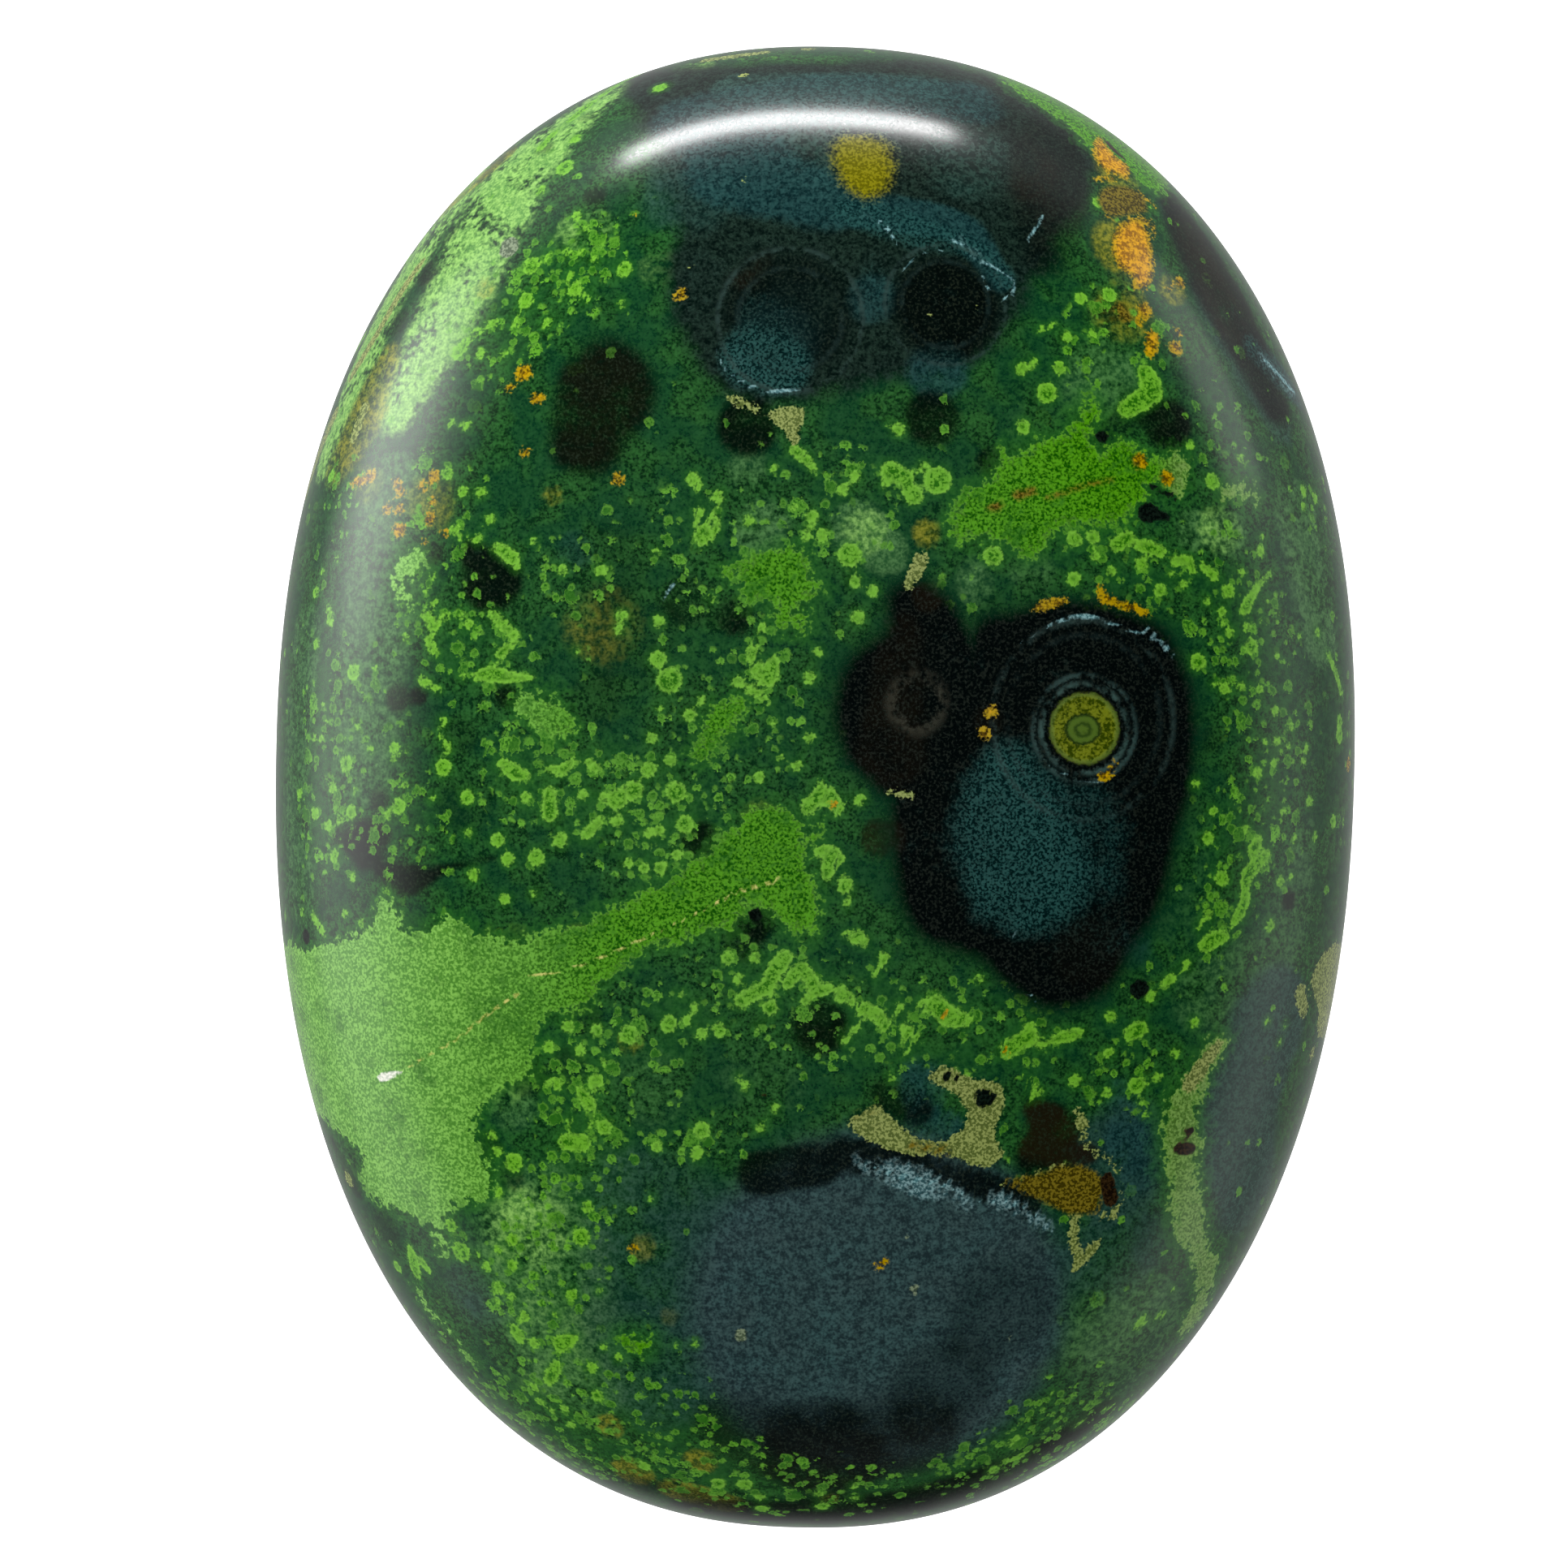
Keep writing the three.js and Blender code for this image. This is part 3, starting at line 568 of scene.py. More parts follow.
# Near-black bodies with sharp edges: the left orb, the right orb with the teal body under it, and a lobe
LEFT_ORB = [
    (3.4, 8.5), (3.0, 8.1), (3.1, 6.9), (2.6, 6.3), (1.9, 5.8), (1.3, 5.0), (0.95, 3.9), (0.85, 3.0),
    (1.2, 1.8), (1.7, 1.0), (2.4, 0.4), (3.4, -0.4), (5.0, -0.2), (6.2, 0.8), (6.8, 2.4), (6.9, 4.4),
    (6.6, 6.0), (5.9, 7.3), (5.2, 8.2), (4.4, 8.7),
]
RIGHT_BODY = [
    (6.5, 6.0), (7.0, 7.2), (8.4, 7.5), (9.8, 7.9), (11.3, 8.0), (12.6, 7.8), (13.6, 7.5), (14.6, 6.9),
    (15.2, 6.0), (15.7, 4.8), (15.95, 3.2), (15.95, 1.5), (15.8, 0.0), (15.3, -1.6), (15.1, -3.0),
    (14.8, -4.2), (14.1, -5.6), (13.4, -6.5), (13.1, -7.4), (12.6, -8.2), (11.4, -8.9), (9.9, -9.0),
    (8.4, -8.1), (7.2, -7.0), (5.8, -6.6), (4.6, -6.0), (3.9, -4.8), (3.6, -3.2), (3.4, -1.4), (3.6, 0.0),
    (5.0, 0.8), (6.0, 3.0),
]
BODIES = [LEFT_ORB, RIGHT_BODY]
SMALL_BODIES = [
    (14.0, -8.3, 0.45), (5.9, -12.2, 0.28), (6.3, -12.3, 0.2), (7.4, -13.05, 0.42), (7.7, -13.0, 0.35),
]
BROWN_HOLES = [
    [(12.8, -16.4, 0.3), (13.0, -17.3, 0.36)], [(15.9, -15.1, 0.3), (16.4, -15.1, 0.28)],
    (16.3, -14.35, 0.28), [(11.8, 28.2, 0.1), (12.2, 27.75, 0.2), (12.75, 27.3, 0.12)],
    (-1.9, -13.1, 0.14), (-6.3, 26.9, 0.15),
]

# Fine pale lines and blots on the dark ground, (x, y, half-width)
PALE_ARC = [
    (8.5, 6.3, 0.0), (9.4, 6.8, 0.02), (10.0, 7.2, 0.05), (10.8, 7.47, 0.1), (11.5, 7.5, 0.11),
    (12.3, 7.3, 0.08), (13.0, 7.05, 0.07), (13.9, 6.8, 0.06), (14.5, 6.35, 0.05), (14.95, 5.85, 0.03),
    (15.3, 5.5, 0.0),
]
PALE_STREAK = [
    (2.6, -16.0, 0.05), (3.4, -16.3, 0.1), (4.1, -16.5, 0.16), (4.9, -16.65, 0.14), (5.7, -16.8, 0.1),
    (6.5, -17.05, 0.06), (7.2, -17.5, 0.06), (7.9, -17.5, 0.08), (8.7, -17.5, 0.1), (9.4, -17.85, 0.1),
    (9.9, -18.1, 0.08), (10.5, -18.7, 0.05),
]
PALE_LINES = [
    PALE_ARC, PALE_STREAK, [(14.0, 7.15, 0.04), (14.7, 6.5, 0.05), (15.2, 5.9, 0.04)],
    [(-4.6, 18.5, 0.05), (-4.2, 17.7, 0.07), (-3.2, 17.0, 0.08), (-2.0, 16.8, 0.08), (-0.7, 17.0, 0.05)],
    [(3.1, 22.0, 0.03), (4.0, 22.8, 0.04), (5.0, 23.0, 0.03)],
    [(5.3, 23.5, 0.06), (6.2, 22.95, 0.07), (7.0, 22.4, 0.06), (7.9, 21.9, 0.05), (8.0, 21.2, 0.06),
     (7.4, 20.9, 0.06), (6.9, 21.4, 0.04), (6.5, 22.2, 0.04)],
    [(18.6, 19.0, 0.05), (19.2, 18.5, 0.12), (19.8, 17.9, 0.13), (20.3, 17.4, 0.12)],
    [(2.2, 24.2, 0.06), (2.6, 23.8, 0.1), (3.0, 23.2, 0.04)], [(9.2, 24.6, 0.07), (8.5, 23.4, 0.05)],
    [(8.3, -7.4, 0.04), (9.0, -8.3, 0.06), (9.6, -8.9, 0.05)], [(9.1, -5.5, 0.03), (8.4, -6.3, 0.04)],
    [(-6.2, 8.5, 0.06), (-6.6, 8.0, 0.08), (-7.0, 7.3, 0.04)],
    [(9.6, 1.4, 0.04), (10.9, 0.65, 0.06), (12.3, 0.5, 0.04)],
]

# Round grey grains
GREY = [(-13.6, 22.8, 0.5), (8.9, -23.4, 0.18), (-2.65, -23.45, 0.3), (4.7, -21.35, 0.25), (4.3, -19.0, 0.14)]

# The vein along the arrow, and the white chip in it
VEIN = [
    [(-17.4, -12.5, 0.04), (-16.3, -11.85, 0.06), (-14.8, -10.9, 0.07), (-13.9, -10.1, 0.07),
     (-12.4, -9.05, 0.06)],
    [(-12.3, -8.4, 0.05), (-11.2, -8.15, 0.06), (-10.1, -7.9, 0.05), (-8.0, -7.0, 0.06),
     (-5.65, -5.85, 0.06), (-4.8, -5.4, 0.07), (-3.95, -4.95, 0.08), (-3.2, -4.5, 0.09),
     (-2.25, -4.25, 0.1), (-1.6, -4.05, 0.08), (-1.4, -3.8, 0.05)],
]
CHIP = [[(-18.3, -12.85, 0.2), (-17.9, -12.7, 0.17), (-17.4, -12.6, 0.06)]]

# The dark blue-black part at the blunt end, where no green shows
DUSK_AREA = [
    (-8.6, 30.6), (-8.6, 28.8), (-7.4, 27.2), (-7.0, 25.4), (-6.6, 23.6), (-6.9, 21.8), (-6.6, 20.0),
    (-6.0, 18.4), (-5.0, 17.0), (-3.4, 16.3), (-1.4, 16.2), (0.6, 16.7), (2.4, 17.3), (4.6, 17.6),
    (6.6, 18.3), (8.0, 19.6), (8.8, 21.6), (9.8, 23.4), (11.0, 24.8), (11.6, 26.4), (11.0, 28.2),
    (9.6, 29.6), (7.6, 30.6), (4.0, 31.4), (0.0, 31.2), (-4.0, 31.0),
]

# Soft fields: (x, y, reach, strength)
# Near-black parts of the stone. The strokes along the rim at the slim end are painted shade, darkening that
# rim as if it turned from the light.
NIGHT_AND_SHADE = [
    [(-8.0, -30.0, 1.4, 0.5), (0.0, -31.4, 1.8, 0.6), (8.0, -29.8, 1.8, 0.6), (13.0, -26.6, 1.4, 0.4)],
    (8.4, -22.0, 3.6, 0.4), (-8.0, 6.0, 3.0, 0.3), (-5.0, 2.5, 2.4, 0.3), (-9.5, 3.4, 1.8, 0.35),
    (-1.5, -2.0, 1.6, 0.4), (-2.4, -5.5, 1.2, 0.9), (6.0, -25.6, 3.4, 0.45), (-33.0, -7.0, 5.0, 0.95),
    (-31.0, 15.0, 3.6, 0.9), (31.0, 5.0, 5.6, 0.95), (30.0, 14.0, 2.4, 0.8), (-2.0, 42.0, 4.6, 0.95),
    (4.0, -42.0, 5.0, 0.95), (-12.0, -36.0, 3.0, 0.8), (34.0, -4.0, 2.4, 0.8), (-27.0, -2.0, 1.6, 0.7),
    (20.0, -34.0, 4.0, 0.9), [(-20.3, -2.5, 0.8, 0.6), (-19.5, -2.5, 1.1, 0.6), (-18.4, -2.35, 0.8, 0.6)],
    [(-19.6, -2.9, 0.9, 0.5), (-19.3, -3.5, 0.8, 0.5)],
    [(-18.5, -3.95, 0.7, 0.75), (-17.5, -4.3, 1.1, 0.95), (-16.6, -4.2, 0.8, 0.9),
     (-15.6, -3.8, 0.5, 0.8), (-13.6, -3.3, 0.4, 0.7)], (-17.1, 21.7, 1.0, 0.6), (-18.3, 19.5, 1.0, 0.5),
    (-12.2, 27.2, 0.7, 0.5), (-10.4, 28.6, 0.7, 0.4), (-16.2, 23.4, 0.8, 0.4),
    [(-9.3, 16.6, 3.0, 0.8), (-10.0, 14.6, 2.5, 0.8)], (-14.0, 8.5, 1.9, 0.95), (-14.9, 9.7, 0.8, 0.8),
    (-16.5, 9.6, 0.7, 0.7), (-13.2, 3.6, 0.8, 0.8), (-17.9, 3.4, 0.9, 0.6), (-17.0, 3.5, 0.6, 0.7),
    (-4.8, -2.5, 1.3, 0.8), (0.4, -10.2, 1.7, 0.8), [(-3.0, -6.6, 1.3, 0.6), (-2.2, -6.0, 0.9, 0.6)],
    (14.7, 15.8, 1.6, 0.9), (5.1, 20.5, 3.2, 0.8), (-1.6, 20.2, 4.0, 0.55), (4.6, 15.8, 1.7, 0.75),
    [(9.5, 28.4, 2.0, 0.5), (9.4, 26.0, 2.8, 0.5), (9.4, 23.0, 2.0, 0.5)], (-3.2, 15.3, 1.8, 0.8),
    [(14.8, 25.6, 1.5, 0.9), (16.2, 23.0, 2.4, 0.9), (17.8, 20.2, 2.4, 0.9), (19.4, 17.0, 1.8, 0.7)],
    (20.4, -4.4, 0.7, 0.7), (16.9, 2.4, 0.9, 0.4), (-3.6, 7.2, 1.2, 0.7), (-5.6, 7.8, 1.6, 0.5),
    [(1.5, -15.6, 1.0, 0.9), (4.0, -15.9, 1.0, 0.9), (7.0, -16.6, 0.9, 0.8), (9.5, -17.6, 0.9, 0.7)],
    [(9.6, -13.4, 0.9, 0.8), (10.6, -14.5, 1.5, 0.95), (9.6, -15.6, 1.2, 0.8), (12.0, -15.4, 0.9, 0.9)],
    [(-2.0, -16.5, 1.4, 0.8), (0.5, -16.0, 1.4, 0.8)], [(3.2, -13.0, 1.0, 0.7), (4.5, -13.6, 1.2, 0.6)],
    [(-3.0, -27.4, 2.6, 0.55), (0.0, -28.2, 3.2, 0.55), (4.5, -27.8, 3.2, 0.55)], (1.0, -28.6, 3.6, 0.6),
    # Painted shade along the rim at the slim end
    [(-5.0, -31.2, 1.2, 0.5), (0.0, -31.2, 1.8, 0.5), (5.0, -30.6, 1.8, 0.5), (10.0, -28.6, 1.6, 0.5),
     (13.0, -26.6, 1.0, 0.5)],
    [(-10.0, -30.6, 1.2, 0.8), (-6.0, -32.2, 1.5, 0.9), (0.0, -33.0, 1.8, 1.0), (6.0, -32.4, 1.6, 0.9),
     (11.0, -30.0, 1.3, 0.9)], (-12.0, -12.6, 1.3, 0.5), (-9.6, -10.0, 1.2, 0.5),
    (-13.6, -15.6, 1.0, 0.5), (-12.6, -16.9, 0.9, 0.5), (-10.2, -12.2, 1.4, 0.4), (-18.6, -1.0, 0.8, 0.6),
    (-10.0, 25.0, 0.8, 0.6), (2.7, -2.1, 1.2, 0.6), (12.2, 20.6, 0.9, 0.6), (-19.0, -2.8, 1.4, 0.6),
    [(13.4, 16.6, 1.0, 0.5), (11.9, 15.0, 0.9, 0.9)], (-9.6, 20.0, 2.0, 0.2), (7.2, 14.0, 1.0, 0.7),
    [(-20.5, -15.6, 0.6, 0.5), (-19.4, -17.6, 0.9, 0.5)], (-18.0, -19.3, 1.4, 0.4), (-9.0, 9.4, 2.6, 0.3),
    (-15.0, -1.0, 2.0, 0.35), (-15.2, 1.8, 1.3, 0.4),
]
BROWN = [
    [(-9.4, 16.6, 3.0, 0.35), (-10.0, 14.5, 2.3, 0.35)], (7.5, 27.6, 3.4, 0.35), (9.6, 25.0, 3.0, 0.35),
    [(-3.5, -28.0, 2.6, 0.25), (1.0, -28.8, 3.0, 0.25), (5.0, -28.2, 2.6, 0.2)], (2.9, -2.1, 1.3, 0.8),
    [(15.6, 24.0, 1.6, 0.5), (17.4, 20.5, 1.8, 0.5)], [(9.8, -14.4, 1.8, 0.9), (11.4, -15.0, 1.6, 0.9)],
    (4.6, 8.2, 0.9, 0.9), (-3.8, 22.5, 2.0, 0.5), [(1.0, -24.6, 2.6, 0.35), (-2.0, -24.6, 2.2, 0.4)],
    [(3.5, 6.6, 1.6, 0.5), (3.2, 1.5, 2.2, 0.5)], (7.3, 3.0, 1.0, 0.5), (11.8, -6.8, 2.4, 0.4),
]
# Teal parts of the stone. The band across the blunt end, round the strip highlight, is painted sheen, the
# falloff of that reflection.
TEAL_AND_SHEEN = [
    (-33.4, -7.4, 3.2, 0.9), (31.4, 5.4, 3.4, 0.9), (4.4, -42.0, 3.0, 0.8), (-26.6, 11.0, 2.4, 0.5),
    (-2.0, 42.0, 2.4, 0.7), (-1.3, 20.0, 2.7, 0.3), (-2.2, 18.8, 2.5, 0.5),
    [(-4.0, 26.5, 3.0, 0.9), (0.0, 24.9, 2.0, 0.4)],
    [(1.0, 24.7, 1.2, 0.9), (5.5, 24.0, 1.1, 0.9), (7.4, 21.8, 0.9, 0.8)], (4.8, 17.8, 1.8, 0.7),
    [(17.7, 20.5, 0.9, 0.8), (19.2, 18.6, 1.2, 1.0), (20.4, 17.3, 1.0, 0.9)], (4.8, -12.6, 1.6, 0.6),
    [(6.0, -14.3, 0.9, 0.7), (4.6, -14.0, 0.8, 0.6)], (2.0, 20.8, 1.6, 0.5), (13.6, -6.4, 1.4, 0.4),
    [(-6.0, 28.4, 2.4, 0.7), (0.0, 29.6, 2.4, 0.5), (6.0, 29.6, 2.2, 0.4)], (13.6, -15.0, 1.6, 0.6),
    [(13.4, -12.9, 1.4, 0.5), (14.2, -16.0, 1.6, 0.5)], (-10.4, 9.8, 1.3, 0.4),
]
SLATE = [
    (3.0, -22.3, 10.5, 1.0), (3.0, -21.8, 8.6, 0.9),
    [(19.8, -9.6, 3.2, 1.0), (18.6, -13.5, 3.2, 1.0), (19.0, -17.0, 2.8, 0.8)],
    [(-14.0, -22.2, 2.2, 0.5), (-14.9, -21.0, 1.2, 0.5)],
    [(-6.8, -18.4, 4.2, 0.5), (-6.8, -22.6, 4.2, 0.5), (-6.2, -26.0, 3.2, 0.45)],
    [(-4.0, 29.9, 1.6, 0.7), (4.0, 30.1, 1.6, 0.7)],
    [(15.0, 25.0, 1.6, 0.6), (17.2, 20.4, 2.0, 0.6), (19.6, 16.0, 1.6, 0.4)], (-6.0, 25.5, 3.2, 0.5),
    (0.0, 27.5, 4.0, 0.5), (6.0, 27.0, 3.0, 0.4), (13.6, -15.5, 3.4, 0.8), (13.4, -19.4, 3.4, 0.55),
]
OLIVE = [
    (-9.2, 6.7, 2.4, 0.35), (-16.7, 11.8, 1.9, 0.4), (-19.4, 12.6, 1.4, 0.3), (12.4, 26.6, 1.6, 0.6),
    (12.6, 23.4, 1.9, 0.6), (12.6, 20.6, 2.0, 0.5), (14.8, 21.6, 1.0, 0.5), (-9.9, -6.9, 1.2, 0.6),
    [(-3.0, -4.1, 0.6, 0.9), (-2.2, -3.6, 0.8, 0.9), (-1.5, -3.1, 0.6, 0.7)], (-12.7, -9.05, 0.6, 0.9),
    [(-13.4, -8.3, 0.4, 0.7), (-12.4, -8.3, 0.5, 0.8)], (-5.9, -6.2, 0.7, 0.4), (-4.3, -29.0, 1.0, 0.7),
    [(-5.2, -30.4, 1.2, 0.9), (-3.2, -30.9, 1.2, 0.9)], (-7.2, -29.6, 1.3, 0.8), (-8.2, -27.6, 0.9, 0.8),
    (-6.9, -19.8, 0.8, 0.8), (-5.7, -22.7, 0.6, 0.6), (1.3, -30.6, 0.6, 0.8), (-2.3, -1.6, 1.4, 0.5),
    (-7.6, -10.9, 0.8, 0.5), (16.2, -15.2, 1.2, 0.5), [(-14.0, 26.8, 1.0, 0.6), (-16.6, 24.4, 0.8, 0.4)],
    (-14.6, 21.0, 0.8, 0.4), [(-18.8, 17.6, 1.6, 0.6), (-19.7, 15.4, 2.0, 0.7), (-20.8, 13.4, 1.6, 0.6)],
    (-11.4, 12.15, 0.6, 0.6), (-19.0, -16.0, 3.0, 0.2), (-13.0, -7.6, 2.4, 0.25), (4.5, 10.9, 0.8, 0.8),
]
# Lighter, milky ground. The strokes along the left shoulder, along both side rims and low on the left are
# painted sheen, the soft reflection of the light on those slopes.
HAZE_AND_SHEEN = [
    [(-18.2, 12.0, 2.8, 0.5), (-19.0, 7.0, 2.8, 0.5), (-19.2, 0.5, 2.6, 0.5)], (-29.0, -14.0, 4.0, 0.6),
    (-30.0, 2.0, 3.6, 0.5), (29.0, -2.0, 3.6, 0.6), (26.0, 16.0, 4.0, 0.5), (8.0, -38.0, 4.0, 0.5),
    [(-12.0, -18.6, 3.4, 0.6), (-11.2, -21.6, 4.2, 0.6), (-9.4, -25.0, 3.6, 0.6)], (-2.5, 10.9, 1.6, 0.8),
    [(1.6, 11.0, 1.6, 0.8), (2.8, 10.0, 1.3, 0.7)], (-3.2, 13.4, 1.2, 0.5), (17.4, 11.2, 1.5, 0.6),
    (15.9, 11.3, 1.2, 0.8), (-15.0, 22.5, 2.5, 0.2), [(20.5, 12.0, 2.2, 0.6), (21.6, 7.0, 2.0, 0.5)],
    [(21.0, -2.0, 1.8, 0.4), (20.0, -6.5, 2.2, 0.6), (17.0, -8.5, 2.4, 0.6)], (9.0, 9.4, 1.4, 0.4),
    (6.6, 8.6, 1.2, 0.4), [(-22.0, 6.0, 2.0, 0.4), (-22.4, 0.0, 2.0, 0.4), (-22.0, -5.0, 2.0, 0.5)],
    [(-22.5, -9.0, 2.2, 0.6), (-21.4, -14.0, 2.2, 0.5)], (-12.6, -13.8, 1.6, 0.5), (12.0, 17.5, 2.4, 0.4),
    [(9.0, 15.5, 2.0, 0.2), (13.0, 19.0, 2.4, 0.3)], (14.0, -23.5, 4.5, 0.35), (-9.0, -17.0, 3.0, 0.25),
    (6.5, 9.4, 1.0, 0.3), (13.0, -22.0, 4.0, 0.3), (-6.8, -13.0, 2.4, 0.3), (-2.0, -12.4, 2.6, 0.25),
    [(16.2, -1.0, 1.6, 0.2), (15.5, -5.6, 1.8, 0.3)], (10.0, -28.8, 2.6, 0.3), (-18.0, 7.0, 2.6, 0.3),
]
# A pale green band along the upper left side, and pale haze; partly painted sheen, on the upper left rim and
# low on the left
PALE_AND_SHEEN = [
    [(-9.3, 29.9, 1.6, 0.8), (-11.3, 28.2, 2.2, 0.8), (-13.4, 26.0, 3.0, 0.8), (-14.6, 23.8, 3.0, 0.8),
     (-15.6, 21.4, 2.7, 0.8), (-16.8, 18.8, 2.4, 0.7), (-18.2, 16.0, 2.0, 0.6)],
    [(-11.4, 30.0, 1.2, 0.7), (-14.0, 27.6, 1.8, 0.7), (-16.4, 24.4, 2.0, 0.6), (-18.6, 20.6, 1.8, 0.7),
     (-20.2, 17.0, 1.8, 0.9), (-21.4, 13.6, 1.4, 0.8)], (-7.0, 22.0, 1.5, 0.2), (-10.4, 23.6, 1.8, 0.35),
    (-6.0, 30.8, 1.4, 0.4), (-19.4, 18.4, 1.4, 0.5), (-12.0, -19.0, 2.4, 0.35),
    [(-11.0, -20.2, 4.4, 0.2), (-11.0, -24.0, 4.4, 0.2)], (-13.0, -12.6, 1.8, 0.4),
    (17.0, 11.4, 1.6, 0.4), (1.8, 10.9, 1.4, 0.4),
]
# The teal glow in the right orb's body
GLOW = [
    [(-3.2, 18.2, 1.8, 0.8), (-1.9, 17.9, 1.8, 0.8)], (-2.6, 19.6, 1.8, 0.25), (2.2, 21.4, 1.4, 0.15),
    (4.9, 17.9, 1.5, 0.2),
    [(0.8, 24.6, 1.0, 0.6), (3.0, 24.0, 1.2, 0.6), (6.6, 23.0, 0.8, 0.6), (7.6, 21.8, 0.9, 0.6)],
    [(18.4, 19.2, 1.0, 0.6), (20.0, 17.6, 1.1, 0.7)], (4.4, -12.9, 0.9, 0.5), (-10.4, 9.6, 0.9, 0.2),
    (13.6, -15.0, 1.3, 0.3), [(8.2, 0.6, 2.4, 0.9), (8.3, -1.6, 3.4, 0.9), (8.9, -3.4, 3.6, 0.9)],
    (10.8, -2.0, 3.6, 0.5), (11.8, -5.6, 2.8, 0.2),
]
# Frosty blue along the slate disc's edge and on the teal lobes
FROST = [
    [(2.1, -15.8, 0.5, 0.8), (3.4, -16.3, 0.8, 0.8), (4.8, -16.7, 0.9, 0.8), (6.2, -17.1, 0.7, 0.8),
     (7.0, -17.9, 0.5, 0.8)], [(8.0, -17.4, 0.5, 0.7), (9.2, -17.8, 0.6, 0.7), (10.3, -18.5, 0.5, 0.7)],
    (13.4, 7.2, 0.5, 0.4), [(1.6, 24.4, 0.4, 0.4), (2.8, 23.9, 0.4, 0.4)],
    [(5.6, 23.5, 0.35, 0.4), (7.2, 22.2, 0.35, 0.4)], [(18.8, 18.8, 0.6, 0.6), (20.0, 17.6, 0.7, 0.7)],
    (-3.6, 17.8, 1.0, 0.3),
]
# How thickly small lime specks lie
SPECKS = [
    [(-27.0, -1.0, 4.6, 0.9), (-31.0, 1.0, 4.6, 0.9)], [(-28.0, 12.0, 4.6, 0.8), (-24.0, 22.0, 4.6, 0.9)],
    (-30.0, -14.0, 5.0, 0.8), [(28.0, -2.0, 4.6, 0.9), (27.0, 12.0, 4.6, 0.8)], (32.0, -8.0, 4.6, 0.8),
    [(-6.0, 37.0, 4.6, 0.9), (10.0, 36.0, 4.6, 0.8)], [(-8.0, -38.0, 4.6, 0.9), (10.0, -38.0, 4.6, 0.9)],
    [(-20.0, -28.0, 4.6, 0.9), (20.0, -28.0, 4.6, 0.8)], (20.0, 28.0, 5.0, 0.8),
    [(-10.5, 22.5, 3.0, 0.9), (-14.0, 19.0, 3.0, 0.9)], [(-16.5, 12.0, 3.0, 0.6), (-16.2, 6.5, 3.0, 0.7)],
    [(-20.5, 3.0, 3.4, 0.8), (-21.0, -2.0, 3.4, 0.8)], [(-12.0, 0.5, 3.4, 0.9), (-6.5, -1.5, 3.6, 0.8)],
    (-14.5, 5.5, 3.0, 0.8), [(-3.5, 3.0, 4.0, 0.55), (-4.5, 10.5, 3.6, 0.5)], (1.0, 12.0, 3.6, 0.6),
    [(12.0, 10.0, 3.4, 0.7), (17.5, 8.5, 3.6, 0.9), (19.5, 3.5, 3.4, 0.9)],
    [(19.0, -1.0, 3.2, 0.8), (17.5, -5.0, 2.4, 0.5)],
    [(-3.0, -8.6, 3.0, 0.8), (2.5, -9.8, 3.0, 0.9), (9.5, -10.4, 2.6, 0.7)], (13.5, -12.0, 2.6, 0.7),
    [(-10.0, -12.5, 3.0, 0.9), (-9.5, -18.0, 3.4, 0.7), (-12.0, -21.5, 3.4, 0.9)],
    (-6.5, -10.5, 3.0, 0.8), [(-11.0, -25.0, 3.2, 0.9), (-8.0, -28.5, 3.0, 0.9)], (-4.5, -14.8, 2.8, 0.5),
    # The strokes at the slim end's rim are thinner: painted shade, fewer bright specks where that rim turns
    # from the light
    (12.5, 19.0, 3.4, 0.8), [(-3.0, -30.3, 2.4, 0.8), (2.0, -30.4, 2.4, 0.6)],
    [(4.0, -30.2, 2.2, 0.45), (9.0, -28.2, 2.2, 0.4)], (17.0, 15.5, 3.0, 0.5), (-17.0, -2.0, 3.0, 0.7),
    (-20.5, 12.0, 2.4, 0.7), (21.5, 12.0, 2.4, 0.4), [(-4.0, 24.0, 3.0, 0.15), (3.0, 18.0, 3.0, 0.15)],
    (-9.8, 8.8, 3.4, 0.4), (6.0, 9.0, 2.4, 0.3),
]


def ellipse_distance(centre, radii):
    """Distance to a face point in shares of an ellipse's half-axes; far off the face it is large."""
    middle = lift([centre])[0]
    offset = (POINTS - middle) / [radii[0], radii[1], min(radii)]
    return np.sqrt(np.einsum("ij,ij->i", offset, offset))


# Discs and rings as ellipses: the middle and the half-axes, in millimetres
ELLIPSES = {
    "eye": ((11.4, 2.75), (1.57, 1.57)),
    "pupil": ((11.33, 2.7), (0.82, 0.68)),
    "left_ring": ((4.25, 3.7), (1.2, 1.3)),
    "orb_disc": ((11.4, 3.1), (4.0, 4.25)),
    "black_disc": ((5.1, 20.7), (2.6, 2.7)),
    "teal_disc": ((-1.5, 19.9), (3.1, 3.2)),
    "disc": ((3.2, -22.3), (8.3, 8.0)),
}

# Markings with sharp edges: their areas and their strokes
SHARP = {
    "bright": (BRIGHT_AREAS, BRIGHT_STROKES),
    "lime": ([], LIME),
    "amber": (AMBER_AREAS, AMBER),
    "khaki": (KHAKI_AREAS, KHAKI_STROKES),
    "umber": ([BROWN_PATCH, HOOK_MIDDLE], UMBER_STROKES),
    "spot": ([OLIVE_SPOT], []),
    "body": (BODIES, []),
    "ink": ([], INK + SMALL_BODIES),
    "hole": ([], BROWN_HOLES),
    "line": ([], PALE_LINES),
    "vein": ([], VEIN),
    "chip": ([], CHIP),
    "grey": ([], GREY),
    "dusk": ([DUSK_AREA], []),
}

# Markings that fade out
SOFT = {
    "frost": FROST, "night_and_shade": NIGHT_AND_SHADE, "brown": BROWN, "teal_and_sheen": TEAL_AND_SHEEN, "slate": SLATE, "olive": OLIVE,
    "haze_and_sheen": HAZE_AND_SHEEN, "pale_and_sheen": PALE_AND_SHEEN, "glow": GLOW,
}
FEWEST_SPECKS = 0.1


